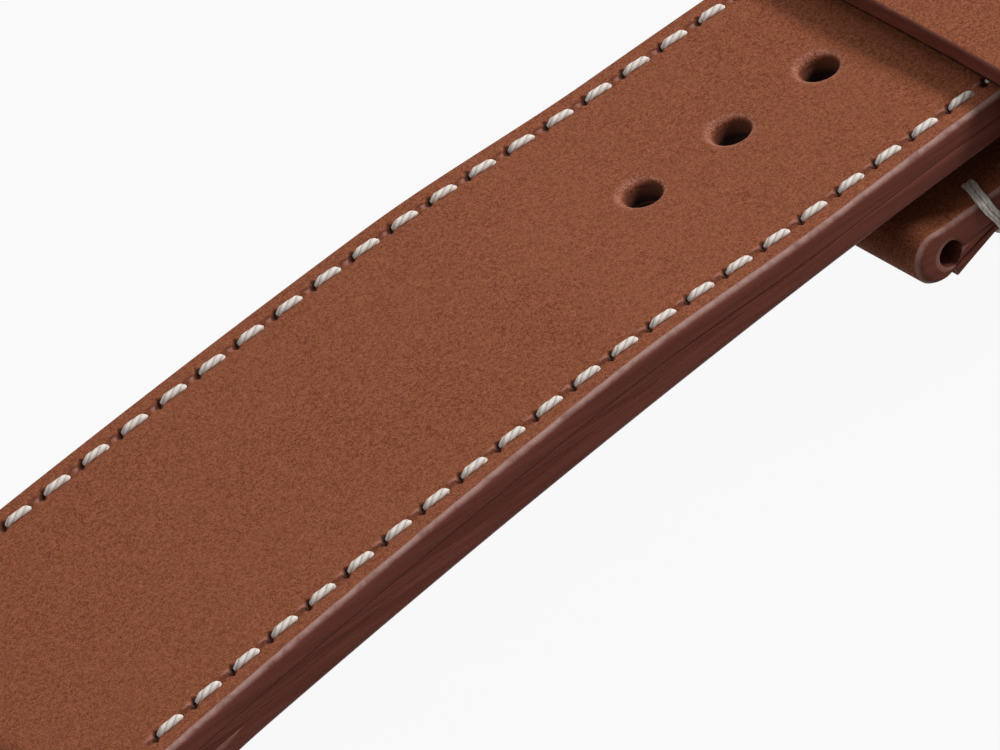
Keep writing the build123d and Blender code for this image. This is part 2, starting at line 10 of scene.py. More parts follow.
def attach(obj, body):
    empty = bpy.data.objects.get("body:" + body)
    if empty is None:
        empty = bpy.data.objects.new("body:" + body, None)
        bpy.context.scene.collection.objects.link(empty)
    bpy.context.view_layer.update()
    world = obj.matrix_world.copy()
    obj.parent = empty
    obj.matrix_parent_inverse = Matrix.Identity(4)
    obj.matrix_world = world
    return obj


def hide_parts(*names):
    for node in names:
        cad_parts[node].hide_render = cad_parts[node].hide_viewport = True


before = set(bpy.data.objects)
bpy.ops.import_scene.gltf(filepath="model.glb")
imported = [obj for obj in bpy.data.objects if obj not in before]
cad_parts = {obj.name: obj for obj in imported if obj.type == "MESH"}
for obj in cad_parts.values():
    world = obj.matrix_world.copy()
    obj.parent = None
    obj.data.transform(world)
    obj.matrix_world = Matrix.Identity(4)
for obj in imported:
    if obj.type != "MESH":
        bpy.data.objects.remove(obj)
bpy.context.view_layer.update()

bl_info = {
    "name": "Leather watch strap",
    "version": (1, 0, 0),
    "blender": (4, 5, 0),
    "location": "3D View > Sidebar > Strap",
    "description": "Builds the visible leather, thread and stage of a two-piece watch strap",
    "category": "Object",
}

# Metres between the places in a layer's table
TABLE_STEP = 0.00001
# Metres, under which two places are taken as one
NEARLY_NONE = 1e-6
# Degrees past which an edge shows as sharp, on leather and on thread
LEATHER_CREASE, THREAD_CREASE = 42, 80
# Millimetres to a metre, because the texture places of seams are in millimetres
MM = 1000
# Texture insets, in metres, that mark faces without a seam: inner faces, and a keeper's inner rims,
# which are painted dark as shadow under the keeper
INNER_FACE, KEEPER_LAP = -0.009, -0.0042
# Texture insets, in millimetres, from the foot of a punched hole's rim to its edge
RIM_START, RIM_STOP = 20.0, 21.0
# Number of rows across a layer's middle strip, which runs under the holes
STRIP_ROWS = 3


def span(name, description, default):
    """A length in metres."""
    return FloatProperty(name=name, description=description, default=default, unit="LENGTH",
                         precision=5)


def turn(name, description, degrees):
    """An angle, given in degrees."""
    return FloatProperty(name=name, description=description, default=math.radians(degrees),
                         subtype="ANGLE")


def paint(name, description, srgb):
    """A colour, given as 8-bit display values and kept as linear light."""
    share = [value / 255 for value in srgb]
    linear = [c / 12.92 if c <= 0.04045 else ((c + 0.055) / 1.055) ** 2.4 for c in share]
    return FloatVectorProperty(name=name, description=description, default=linear,
                               subtype="COLOR", size=3, min=0, max=1)


class StrapSizes(bpy.types.PropertyGroup):
    """Sizes of the strap, the same as in its CAD model."""

    arch_radius: span("Arch radius", "Radius that both pieces are curved to", 0.524)
    bend_radius: span("Bend radius", "Tighter radius of the short piece's lug end", 0.163)
    bend_start: span("Bend start", "Where the tighter bend begins", 0.1)
    upper: span("Upper leather", "Thickness of the upper leather", 0.00135)
    core: span("Padding", "Thickness of the padding", 0.00069)
    long_lining: span("Long lining", "Thickness of the long piece's lining", 0.00132)
    short_lining: span("Short lining", "Thickness of the short piece's lining", 0.00095)
    long_length: span("Long piece", "Length from the spring bar to the tip", 0.115)
    lug_width: span("Lug width", "Width at the watch", 0.022)
    tip_width: span("Tail width", "Width where the tip begins", 0.0179)
    tip_length: span("Tip", "Length of the rounded tip", 0.013)
    pad_end: span("Padding ends", "Where the long piece begins to thin", 0.0345)
    pad_fade: span("Padding ramp", "Length over which it thins", 0.0152)
    short_length: span("Short piece", "Length between its two bars", 0.075)
    buckle_place: span("Buckle bar", "Distance of the buckle bar along the strap", 0.0558)
    buckle_width: span("Buckle width", "Width at the buckle", 0.02)
    buckle_drop: span("Buckle drop", "How far the buckle end lies under the tail", 0.0025)
    tail_gap: span("Tail gap", "Gap between the two pieces at the watch", 0.0004)
    rise_start: span("Rise start", "Where the short piece rises, from its bar", 0.0137)
    rise_length: span("Rise length", "Length of that rise", 0.0135)
    short_pad: span("Short padding", "Where the short piece's padding begins", 0.045)
    short_pad_fade: span("Short ramp", "Length over which it thickens", 0.012)
    roll: span("Lug roll", "Outer radius of the rolls round the spring bars", 0.00185)
    bore: span("Lug bore", "Radius of the spring bar's hole", 0.00095)
    fold_back: span("Fold", "How far the leather is folded back", 0.005)
    fold_gap: span("Fold gap", "Room between a folded end and the pared lining", 0.00012)
    nose: span("Buckle roll", "Outer radius of the roll round the buckle bar", 0.0015)
    nose_lead: span("Roll lead", "How far that roll stands before the bar", 0.00085)
    nose_depth: span("Roll depth", "Depth of that roll's centre", 0.00142)
    eye_depth: span("Eye depth", "Depth of the buckle bar's hole", 0.00176)
    eye: span("Eye radius", "Radius of the buckle bar's hole", 0.00075)
    nose_fold: span("Buckle fold", "How far the leather is folded back there", 0.0048)
    flap_start: span("Flap start", "Where the lining's flap begins, from the bar", 0.00015)
    flap_gap: span("Flap gap", "Room between the roll and that flap", 0.00005)
    flap_depth: span("Flap depth", "Depth of the flap's lower edge", 0.00336)
    flap_stop: span("Flap stop", "Where the flap joins the lining's face", 0.00305)
    slot_width: span("Tongue slot", "Width of the slot for the buckle's tongue", 0.0036)
    slot_rear: span("Slot rear", "Rear end of that slot, from the bar", 0.005)
    hole: span("Hole radius", "Radius of the adjustment holes", 0.001)
    first_hole: span("First hole", "Distance of the first hole", 0.0451)
    hole_pitch: span("Hole pitch", "Distance from hole to hole", 0.0061)
    holes: IntProperty(name="Holes", description="Number of adjustment holes", default=7)
    strip: span("Middle strip", "Half width of the strip that the holes are in", 0.0022)
    pitch: span("Stitch pitch", "Distance from slit to slit", 0.0026)
    inset: span("Seam inset", "Distance of the seam from the edge", 0.0014)
    seam_start: span("Seam start", "Where the seam begins at the lug end", 0.0042)
    short_seam: span("Buckle seam", "Where the short seams begin, from the bar", 0.0056)
    slant: turn("Slit slant", "Slant of the awl slits to the seam", 50)
    slit: span("Slit length", "Length of an awl slit", 0.0008)
    thread: span("Thread", "Thickness of the thread", 0.00045)
    proud: span("Thread proud", "How far a stitch stands over the leather", 0.00015)
    leg: span("Leg offset", "Where a stitch dives, from its slit's middle", 0.00014)
    whip: span("Whip place", "Place of the whip stitches, from the bar", 0.0031)
    whip_inset: span("Whip inset", "Distance of the whip's hole from the edge", 0.00195)
    band: span("Keeper leather", "Thickness of the keepers", 0.00135)
    band_corner: span("Keeper corner", "Outer corner radius of a keeper", 0.0017)
    band_gap: span("Keeper gap", "Room over the tail in a keeper", 0.0003)
    band_crown: span("Keeper crown", "Crown of a keeper's top", 0.0003)
    band_butt: span("Butt gap", "Gap between the free keeper's ends", 0.00015)
    fixed_under: span("Fixed seat", "Gap between the lining and the fixed keeper", 0.00002)
    fixed_place: span("Fixed keeper", "Place of the fixed keeper, from the bar", 0.0053)
    fixed_width: span("Fixed width", "Width of the fixed keeper", 0.007)
    fixed_room: span("Fixed room", "Half of the room in the fixed keeper", 0.0105)
    free_under: span("Free seat", "Gap between the lining and the free keeper", 0.0003)
    free_place: span("Free keeper", "Place of the free keeper, from the bar", 0.0312)
    free_width: span("Free width", "Width of the free keeper", 0.006)
    free_room: span("Free room", "Half of the room in the free keeper", 0.0112)
    tack_spread: span("Tack spread", "Half of the distance between two tacks", 0.0016)
    tack_half: span("Tack length", "Half of the length of a tack", 0.0012)
    tack_reach: span("Tack reach", "Distance of the fixed keeper's tacks from the middle", 0.0052)
    edge_width: span("Edge rounding", "Width of the bevelled upper edge", 0.00028)
    edge_depth: span("Edge depth", "Depth of the bevelled upper edge", 0.00036)


class StrapColours(bpy.types.PropertyGroup):
    """Colours of the strap and its stage."""

    tan: paint("Tan leather", "Upper leather", (150, 90, 62))
    tan_dark: paint("Tan, dark", "Dark flecks of the upper leather", (101, 50, 32))
    tan_light: paint("Tan, light", "Light flecks of the upper leather", (138, 82, 58))
    edge: paint("Burnished edge", "Rubbed and dyed edges", (109, 60, 50))
    # Painted highlight: the pale band painted on the bevelled upper edges, and faintly round the
    # folds' bores
    edge_highlight: paint("Edge highlight", "Painted highlight on the bevels and round the bores", (178, 143, 134))
    edge_dark: paint("Edge, dark", "Streaks of the burnished edge", (84, 42, 31))
    # Painted highlight: the pale colour on the lips' crests beside the slits and at the foot of
    # each hole's rim
    lip: paint("Lip highlight", "Painted highlight on the lips' crests and the holes' rims", (172, 118, 102))
    # Painted shade: the dark of the slits, of the deep part of the punched holes and of the
    # keepers' inner rims
    pit: paint("Pit shade", "Painted shade in the slits, deep in the holes and under the keepers", (32, 14, 10))
    raw: paint("Cut leather", "Cut fibres in the holes", (96, 58, 40))
    lining: paint("Lining", "Lining leather", (150, 104, 74))
    lining_dark: paint("Lining, dark", "Dark flecks of the lining", (118, 78, 54))
    thread: paint("Thread", "Waxed thread", (228, 220, 212))
    # Painted shade: the darker colour in the grooves between the strands, mixed with random fuzz
    thread_dark: paint("Thread, dark", "Grooves between the strands", (188, 174, 164))
    tape: paint("Stay tape", "Woven tape between the layers", (205, 198, 184))
    floor: paint("Floor", "Floor under the strap", (252, 252, 252))
    shade: paint("Floor, shade", "What the floor throws back on the strap", (140, 138, 136))


class StrapStage(bpy.types.PropertyGroup):
    """Floor, even light and camera of the stage."""

    aim: FloatVectorProperty(name="Aim", description="Point in the middle of the view",
                             default=(-0.027937, 0.004909, -0.000459), subtype="XYZ", size=3)
    distance: span("Distance", "Distance from the camera to that point", 0.565197)
    heading: turn("Heading", "Direction of view, from +Y towards +X", 32.2076)
    tilt: turn("Tilt", "How far the view looks down", 35.8083)
    roll: turn("Roll", "How far the camera is tipped", -12.6701)
    lens: FloatProperty(name="Lens", description="Focal length", default=395.14, unit="CAMERA")
    floor_half: span("Floor", "Half of the floor's width", 3.0)
    floor_drop: span("Floor drop", "Room under the strap for the tail when it slides out", 0.005)
    sky: FloatProperty(name="Sky", description="Strength of the even light", default=0.22)


# Lay of the strap: places are a distance along the arch and a height over it

def fade(distance, start, length):
    """From 0 to 1 over a length: 3 s^2 - 2 s^3 of the share s."""
    share = np.clip((distance - start) / length, 0, 1)
    return share * share * (3 - 2 * share)


def arch_point(size, distance, height, bent, lean):
    """A point from the arch's centre: radius plus height, at the angle distance over radius.
    Past the bend's start, the short piece goes on round a hub with the tighter radius."""
    distance = np.asarray(distance, float)
    past = np.maximum(distance - size.bend_start, 0) if bent else distance * 0
    angle = lean + (distance - past) / size.arch_radius
    further = angle + past / size.bend_radius
    hub = np.where(past > 0, size.arch_radius - size.bend_radius, 0)
    reach = np.where(past > 0, size.bend_radius, size.arch_radius) + height
    return (hub * np.sin(angle) + reach * np.sin(further),
            hub * np.cos(angle) + reach * np.cos(further))


def lay(size, distance, height, bent=False):
    """X and Z of places along the strap. The arch is leant until both rolls stand on the floor."""
    lug = size.buckle_place + size.short_length
    first = (0, size.long_lining + size.core + size.upper - size.roll, False)
    last = (lug, -size.tail_gap - size.roll, True)
    level = [arch_point(size, *place, 0) for place in (first, last)]
    lean = math.atan2(level[1][1] - level[0][1], level[1][0] - level[0][0])
    stood = [arch_point(size, *place, lean) for place in (first, last)]
    x, z = arch_point(size, distance, height, bent, lean)
    return x - (stood[0][0] + stood[1][0]) / 2, z + size.roll - stood[0][1]


def long_top(size, distance):
    """Height of the long piece's upper face."""
    full = size.long_lining + size.core + size.upper
    return full - size.core * fade(distance, size.pad_end, size.pad_fade)


def short_top(size, distance):
    """Height of the short piece's upper face."""
    risen = fade(distance, size.buckle_place + size.rise_start, size.rise_length)
    return (size.buckle_drop - size.tail_gap) * risen - size.buckle_drop


def short_under(size, distance):
    """Height of the underside of the short piece's padding."""
    padding = size.core * fade(distance, size.buckle_place + size.short_pad, size.short_pad_fade)
    return short_top(size, distance) - size.upper - padding


def long_half(size, distance):
    """Half of the long piece's width, in a straight taper from the bar to the tip."""
    share = np.clip(distance, 0, None) / (size.long_length - size.tip_length)
    return (size.lug_width + (size.tip_width - size.lug_width) * np.minimum(share, 1)) / 2


def short_half(size, distance):
    """Half of the short piece's width, in a straight taper from buckle to lug."""
    share = np.clip((distance - size.buckle_place) / size.short_length, 0, 1)
    return (size.buckle_width + (size.lug_width - size.buckle_width) * share) / 2


# Side views of the layers, as tables of outer and inner points against the run along the face

def arc(centre, radius, start, stop, count=900):
    """Points on a circle, from one angle in degrees to another."""
    angle = np.radians(np.linspace(start, stop, count))
    return np.stack([centre[0] + radius * np.cos(angle), centre[1] + radius * np.sin(angle)], 1)


def line(start, stop, count=400):
    """Points on a straight line."""
    share = np.linspace(0, 1, count)[:, None]
    return np.asarray(start) * (1 - share) + np.asarray(stop) * share


def path_length(points):
    """Length of a path up to each of its points."""
    return np.concatenate([[0], np.cumsum(np.hypot(*np.diff(points, axis=0).T))])


def rolled(centre, radius, tongue, eye, bore, bond, face):
    """Outer and inner points of leather from its folded tongue, round a roll and up to its
    face, in distance from the bar into the strap, and height. The tongue's line starts from
    the lowest point of the roll's circle and is seen from where it leaves the circle again,
    and the inner points lie on the bond between both layers and round the bore."""
    lowest = np.array([centre[0], centre[1] - radius])
    way = np.asarray(tongue) - lowest
    leave = lowest + way * (2 * radius * way[1] / (way @ way))
    angle = math.degrees(math.atan2(leave[1] - centre[1], leave[0] - centre[0]))
    outer = [line(tongue, leave), arc(centre, radius, angle, -270)[1:]]
    inner = [line(bond, (eye[0] + bore, eye[1])), arc(eye, bore, 0, -270)[1:]]
    if math.dist(outer[-1][-1], face) > NEARLY_NONE:
        outer.append(line(outer[-1][-1], face)[1:-1])
        inner.append(np.repeat(inner[-1][-1:], len(outer[-1]), 0))
    return np.concatenate(outer), np.concatenate(inner)


def table(top, seat, start, stop, bent, rolls=()):
    """Runs with their outer and inner points. The run is the distance on the face, and goes on
    by arc length round a roll before the start or after the stop."""
    distance = np.arange(start, stop + TABLE_STEP / 10000, TABLE_STEP)
    outer, inner = (np.stack([distance, height(distance)], 1) for height in (top, seat))
    run = distance.copy()
    for at_start, bar, eye, bore, bond, _ in rolls:
        into = (distance - bar) * (1 if at_start else -1)
        over = eye[1] + np.sqrt(np.clip(bore**2 - np.clip(into, 0, bore) ** 2, 0, None))
        joint = eye[1] + (bond[1] - eye[1]) * np.clip((into - bore) / (bond[0] - bore), 0, 1)
        folded = np.where(into < bore, over, joint)
        inner[:, 1] = np.where(into < bond[0], folded, inner[:, 1])
    for at_start, bar, _, _, _, (points, inside) in rolls:
        flip = np.array([1 if at_start else -1, 1])
        points, inside = points * flip + [bar, 0], inside * flip + [bar, 0]
        length = path_length(points)
        if at_start:
            run = np.concatenate([start - TABLE_STEP - length[-1] + length, run])
            outer, inner = np.concatenate([points, outer]), np.concatenate([inside, inner])
        else:
            run = np.concatenate([run, run[-1] + TABLE_STEP + length[-1] - length[::-1]])
            outer = np.concatenate([outer, points[::-1]])
            inner = np.concatenate([inner, inside[::-1]])
    return {"run": run, "outer": outer, "inner": inner, "bent": bent}


def skin(size, layer, run, depth):
    """X and Z of points at a depth under the outer face, on the line from outer to inner."""
    run, depth = np.broadcast_arrays(run, depth)
    outer, inner = ([np.interp(run, layer["run"], layer[face][:, i]) for i in (0, 1)]
                    for face in ("outer", "inner"))
    between = np.hypot(inner[0] - outer[0], inner[1] - outer[1])
    share = depth / np.maximum(between, NEARLY_NONE)
    place = [outer[i] + (inner[i] - outer[i]) * share for i in (0, 1)]
    return lay(size, place[0], place[1], layer["bent"])


def thickness(layer, run):
    """Distance from outer to inner face."""
    gap = layer["inner"] - layer["outer"]
    return np.interp(run, layer["run"], np.hypot(gap[:, 0], gap[:, 1]))


# Forms of the seam

def bell(value, half):
    """A bell curve: e to the power of minus the square of value over half."""
    return np.exp(-((value / half) ** 2))


def stretch(share, rise_from, rise, fall_to, fall):
    """From 0 to 1 over a rise, and back to 0 over a fall."""
    return fade(share, rise_from, rise) * fade(-share, -fall_to, fall)


def sink(size, seam, phase, inset, far):
    """How far the leather is drawn in: a dip along the row, a bed under the part of each stitch
    that shows, a narrow groove at each slit, less the lip under which the stitch goes in on the
    side towards the long piece's bar. Each is a bell curve of its distance."""
    bed_depth, lip_height, bed_half = 0.00015, 0.00016, 0.00026
    bed_shares, lip_shares, slant_share = (0.03, 0.12, 0.72, 0.14), (0.66, 0.12, 0.97, 0.08), 0.3
    groove_depth, groove_half, groove_over, groove_fade = 0.00026, 0.00012, 0.00006, 0.0002
    row_depth, row_half = 0.00009, 0.0004
    groove_limit, row_start, row_fade = 0.3, -0.1, 0.2
    inward = inset - size.inset
    sense = -1 if far else 1
    c, s = math.cos(size.slant), math.sin(size.slant)
    after = np.ceil(phase) - phase if far else phase - np.floor(phase)
    across = inward - sense * s * size.leg * (1 - 2 * after) * slant_share
    bed = bed_depth * bell(across, bed_half) * stretch(after, *bed_shares)
    lip = lip_height * bell(across, bed_half) * stretch(after, *lip_shares)
    along = (phase - np.round(phase)) * seam["pitch"]
    on, off = along * c + inward * s, inward * c - along * s
    reach = fade(size.slit / 2 + groove_over - np.abs(on), 0, groove_fade)
    groove = groove_depth * bell(off, groove_half) * reach
    row = row_depth * bell(inward, row_half)
    at_slit = (phase > -groove_limit) & (phase < seam["count"] + groove_limit)
    on_seam = fade(phase, row_start, row_fade) * fade(seam["count"] - phase, row_start, row_fade)
    return np.where(at_slit, groove, 0) + on_seam * (row + bed - lip)


# Meshes

def mesh_of(name, points, loops, counts, uv, kinds, materials, crease):
    """A mesh object from arrays: points, the corner indices of all faces in a row, the number
    of corners of each face, a texture place for each corner and a material for each face."""
    mesh = bpy.data.meshes.new(name)
    mesh.vertices.add(len(points))
    mesh.vertices.foreach_set("co", np.ascontiguousarray(points, np.float32).ravel())
    mesh.loops.add(len(loops))
    mesh.loops.foreach_set("vertex_index", np.asarray(loops, np.int32))
    mesh.polygons.add(len(counts))
    starts = np.concatenate([[0], np.cumsum(counts)[:-1]])
    mesh.polygons.foreach_set("loop_start", starts.astype(np.int32))
    mesh.polygons.foreach_set("material_index", np.asarray(kinds, np.int32))
    mesh.update(calc_edges=True)
    layer = mesh.uv_layers.new(name="Seam")
    layer.data.foreach_set("uv", np.ascontiguousarray(uv, np.float32).ravel())
    form = bmesh.new()
    form.from_mesh(mesh)
    bmesh.ops.recalc_face_normals(form, faces=form.faces)
    if form.calc_volume(signed=True) < 0:
        bmesh.ops.reverse_faces(form, faces=form.faces)
    open_edges = sum(1 for edge in form.edges if len(edge.link_faces) != 2)
    form.to_mesh(mesh)
    form.free()
    if open_edges:
        raise RuntimeError(f"{name} has {open_edges} open or shared edges")
    mesh.polygons.foreach_set("use_smooth", np.ones(len(mesh.polygons), bool))
    mesh.set_sharp_from_angle(angle=math.radians(crease))
    for material in materials:
        mesh.materials.append(material)
    thing = bpy.data.objects.new(name, mesh)
    bpy.context.scene.collection.objects.link(thing)
    return thing


class Faces:
    """Corner arrays gathered for one mesh. Corners may share a vertex with other corners."""

    def __init__(self):
        self.points, self.uv, self.loops, self.counts, self.kinds = [], [], [], [], []
        self.total = 0
        self.same = []

    def grid(self, points, uv):
        """Adds an array of points, and returns its indices in the same shape."""
        shape = points.shape[:-1]
        index = self.total + np.arange(int(np.prod(shape))).reshape(shape)
        self.points.append(points.reshape(-1, 3))
        self.uv.append(uv.reshape(-1, 2))
        self.total += index.size
        return index

    def quads(self, index, keep=None, kind=0):
        """Faces between the rows and columns of an index array."""
        a, b, c, d = index[:-1, :-1], index[1:, :-1], index[1:, 1:], index[:-1, 1:]
        found = np.stack([a, b, c, d], -1).reshape(-1, 4)
        if keep is not None:
            found = found[keep.ravel()]
        self.loops.append(found.ravel())
        self.counts.append(np.full(len(found), 4))
        self.kinds.append(np.full(len(found), kind))

    def ring(self, index):
        """One face with many corners."""
        self.loops.append(np.asarray(index))
        self.counts.append(np.array([len(index)]))
        self.kinds.append(np.array([0]))

    def weld(self, these, those):
        """These corners are at the same vertices as those."""
        self.same.append((np.ravel(these), np.ravel(those)))

    def finish(self, name, materials, crease=LEATHER_CREASE):
        """The mesh object of all faces. A quad loses the corners that a weld has brought
        together, and goes if fewer than three are left."""
        points, uv = np.concatenate(self.points), np.concatenate(self.uv)
        target = np.arange(len(points))
        for these, those in self.same:
            target[these] = those
        while (target[target] != target).any():
            target = target[target]
        loops, counts = np.concatenate(self.loops), np.concatenate(self.counts)
        kinds = np.concatenate(self.kinds)
        corner_uv = uv[loops]
        loops = target[loops]
        quad = counts == 4
        starts = np.concatenate([[0], np.cumsum(counts)[:-1]])[quad]
        found = np.stack([loops[starts + i] for i in range(4)], 1)
        flat = found == np.roll(found, -1, axis=1)
        drop = np.zeros(len(loops), bool)
        for i in range(4):
            drop[starts[flat[:, i]] + i] = True
        left = counts.copy()
        left[quad] -= flat.sum(1)
        keep_face = left >= 3
        keep_loop = ~drop & np.repeat(keep_face, counts)
        used, loops = np.unique(loops[keep_loop], return_inverse=True)
        return mesh_of(name, points[used], loops, left[keep_face], corner_uv[keep_loop],
                       kinds[keep_face], materials, crease)


# Leather layers

def seam_of(size, start, stop, half, tip):
    """Pitch, number of stitches and slope of a seam. A long seam goes up the near edge, round
    the tip and back down the far edge; a short one goes up one edge."""
    rows = half(size, np.array([start, stop])) - size.inset
    straight = math.hypot(stop - start, rows[1] - rows[0])
    a, b = size.tip_length - size.inset, size.tip_width / 2 - size.inset
    angle = np.linspace(0, math.pi / 2, 4000)
    length = path_length(np.stack([a * np.sin(angle), b * np.cos(angle)], 1))
    whole = 2 * (straight + length[-1]) if tip else straight
    count = round(whole / size.pitch)
    pitch = whole / count
    return {"start": start, "stop": stop, "pitch": pitch, "count": count, "tip": tip,
            "slope": (stop - start) / straight, "turn": straight / pitch, "half": half,
            "angle": angle, "length": length}


def tip_angle(seam, phase):
    """Angle on the tip's ellipse of a phase past the seam's turn."""
    return np.interp((phase - seam["turn"]) * seam["pitch"], seam["length"], seam["angle"])


def near_row(size, seam, phase):
    """Distance, y and direction of points on the near half of a seam, phase pitches from its
    start: on the straight taper first, and then on the tip's ellipse."""
    run = np.minimum(phase, seam["turn"]) * seam["pitch"]
    distance = seam["start"] + run * seam["slope"]
    y = size.inset - seam["half"](size, distance)
    climb = math.sqrt(1 - seam["slope"] ** 2) * (1 if seam["tip"] else -1)
    du, dy = np.full_like(distance, seam["slope"]), np.full_like(distance, climb)
    if seam["tip"]:
        angle = tip_angle(seam, phase)
        a, b = size.tip_length - size.inset, size.tip_width / 2 - size.inset
        past = phase > seam["turn"]
        distance = np.where(past, seam["stop"] + a * np.sin(angle), distance)
        y = np.where(past, -b * np.cos(angle), y)
        speed = np.hypot(a * np.cos(angle), b * np.sin(angle))
        du = np.where(past, a * np.cos(angle) / speed, du)
        dy = np.where(past, b * np.sin(angle) / speed, dy)
    return distance, y, du, dy


def stations(layer_ends, size, seam, per_pitch):
    """Runs, oval angles and phases of the cross-sections: even steps of the seam's pitch where
    the seam runs, and steps of like length before and after it."""
    spacing = 0.00016
    first, last = layer_ends
    end = seam["count"] / 2 if seam["tip"] else seam["count"]
    phase = np.arange(round(end * per_pitch) + 1) / per_pitch
    distance = near_row(size, seam, phase)[0]
    past = (phase > seam["turn"] + NEARLY_NONE) & seam["tip"]
    run = np.where(past, seam["stop"], distance)
    oval = np.where(past, tip_angle(seam, phase), 0)
    before = np.linspace(first, seam["start"], round((seam["start"] - first) / spacing) + 1)[:-1]
    run, oval = np.concatenate([before, run]), np.concatenate([before * 0, oval])
    phase = np.concatenate([(before - seam["start"]) / seam["pitch"], phase])
    if not seam["tip"]:
        after = np.linspace(seam["stop"], last, round((last - seam["stop"]) / spacing) + 1)[1:]
        run, oval = np.concatenate([run, after]), np.concatenate([oval, after * 0])
        phase = np.concatenate([phase, end + (after - seam["stop"]) / seam["pitch"]])
    return run, oval, phase


def cross_section(size, half, gap, thick, rows, soft):
    """Insets and depths of the rows, from the middle of the inner face, out to the edge, up the
    side, over the bevelled upper edge and back to the middle of the outer face. The bevel is
    seven parts a straight chamfer and three parts a quarter ellipse. The number of rows on the
    inner face is given too, and the first row of the outer face."""
    chamfer_share, drop_share, soft_share, seam_margin = 0.7, 0.45, 0.25, 0.0008
    strip_share, strip_past, inner_inset = 0.45, 0.0005, 0.0009
    width = np.minimum(size.edge_width, half)
    drop = np.minimum(size.edge_depth, drop_share * thick)
    small = np.minimum(soft, soft_share * thick)
    strip_row = half - size.strip
    shares = np.arange(STRIP_ROWS + 1) / STRIP_ROWS
    middle = [half - (gap + share * (size.strip - gap)) for share in shares]
    insets = [*middle, strip_row * strip_share + strip_past, half * 0 + inner_inset, small]
    inner_rows = len(insets)
    depths = [thick] * inner_rows
    for angle in np.radians((30, 60, 90)):
        insets.append(small * (1 - math.sin(angle)))
        depths.append(thick - small * (1 - math.cos(angle)))
    for share in (1 / 3, 2 / 3, 1):
        insets.append(half * 0)
        depths.append((thick - small) * (1 - share) + drop * share)
    outer_start = len(insets)
    for share in (0.12, 0.26, 0.42, 0.58, 0.74, 0.88, 1):
        angle = share * math.pi / 2
        rounded = 1 - chamfer_share
        insets.append(width * (chamfer_share * share + rounded * (1 - math.cos(angle))))
        depths.append(drop * (chamfer_share * (1 - share) + rounded * (1 - math.sin(angle))))
    seam_zone = half * 0 + size.inset + seam_margin
    insets += [width + (seam_zone - width) * share for share in np.linspace(0, 1, rows + 1)[1:]]
    insets += [seam_zone + (strip_row - seam_zone) * share for share in np.linspace(0, 1, 5)[1:]]
    insets += middle[-2::-1]
    depths += [half * 0] * (len(insets) - len(depths))
    return np.stack(insets, 1), np.stack(depths, 1), inner_rows, outer_start


def slot_gap(size, distance):
    """Half of the tongue slot's width: straight from the bar, and round at its rear end."""
    radius, least = size.slot_width / 2, 0.0001
    past = np.clip(distance - (size.buckle_place + size.slot_rear - radius), 0, None)
    gap = np.sqrt(np.clip(radius**2 - past**2, 0, None))
    return np.where(gap < least, 0, gap)


def leather(size, name, layer, seam, ends, materials, face=(-math.inf, math.inf), slot=False,
            holes=False, rows=17, per_pitch=18):
    """A leather layer as one closed shell: cross-sections of near and far half carried along
    the strap, and round the tip on ellipses that shrink with the inset. Its folds, before and
    after the ends of its face, have softer inner edges. Its ends are the first and last place
    of its run."""
    edge_soft, fold_soft, fold_fade, fold_mark = 0.0001, 0.00015, 0.001, 0.0025
    faces = Faces()
    run, oval, phase = stations(ends, size, seam, per_pitch)
    distance = np.interp(run, layer["run"], layer["outer"][:, 0])
    half = seam["half"](size, distance)
    gap = slot_gap(size, distance) if slot else distance * 0
    thick = thickness(layer, run)
    fold = 1 - fade(np.minimum(distance - face[0], face[1] - distance), 0, fold_fade)
    insets, depths, inner_rows, outer_start = cross_section(size, half, gap, thick, rows,
                                                            edge_soft + fold_soft * fold)
    row = np.arange(insets.shape[1])
    phases = np.broadcast_to(phase[:, None], insets.shape)
    runs = run[:, None] + (size.tip_length - insets) * (np.sin(oval) * (oval > 0))[:, None]
    y = (half[:, None] - insets) * np.where(oval > 0, np.cos(oval), 1)[:, None]
    v = np.where(row < inner_rows, INNER_FACE, insets - depths)
    # Marks the folds' inner edges, which get a faint painted highlight round the bores
    v[:, inner_rows:inner_rows + 3] -= fold_mark * fold[:, None]
    back = seam["count"] - phases
    far_u = back if seam["tip"] else phases
    sides = []
    for side, u, drawn in ((-1, phases, sink(size, seam, phases, insets, False)),
                           (1, far_u, sink(size, seam, back, insets, True))):
        x, z = skin(size, layer, runs, depths + np.where(row >= outer_start, drawn, 0))
        sides.append(faces.grid(np.stack([x, side * y, z], -1), np.stack([u, v * MM], -1)))
    near, far = sides
    shut = gap == 0
    faces.weld(far[shut, 0], near[shut, 0])
    faces.weld(far[shut, -1], near[shut, -1])
    if seam["tip"]:
        faces.weld(far[-1], near[-1])
    keep = np.ones((len(run) - 1, insets.shape[1] - 1), bool)
    if holes:
        places = size.first_hole + size.hole_pitch * np.arange(size.holes)
        between = np.append(places - size.hole_pitch / 2, places[-1] + size.hole_pitch / 2)
        cuts = [int(np.argmin(np.abs(run - end))) for end in between]
        keep[cuts[0]:cuts[-1], :STRIP_ROWS] = False
        keep[cuts[0]:cuts[-1], -STRIP_ROWS:] = False
        spots = [np.stack([runs, side * y], -1) for side in (-1, 1)]
        for place, cut in zip(places, zip(cuts[:-1], cuts[1:])):
            punch(size, faces, layer, sides, spots, cut, place, np.interp(place, run, thick))
    for side in sides:
        faces.quads(side, keep)
    for side in sides:
        if not shut.all():
            wall = side[:np.flatnonzero(~shut).max() + 2]
            faces.quads(np.stack([wall[:, -1], wall[:, 0]], 1), kind=1)
    for station in [0] if seam["tip"] else [0, -1]:
        if shut[station]:
            faces.ring(np.concatenate([near[station], far[station, -2:0:-1]]))
        else:
            faces.ring(near[station])
            faces.ring(far[station])
    return faces.finish(name, materials)


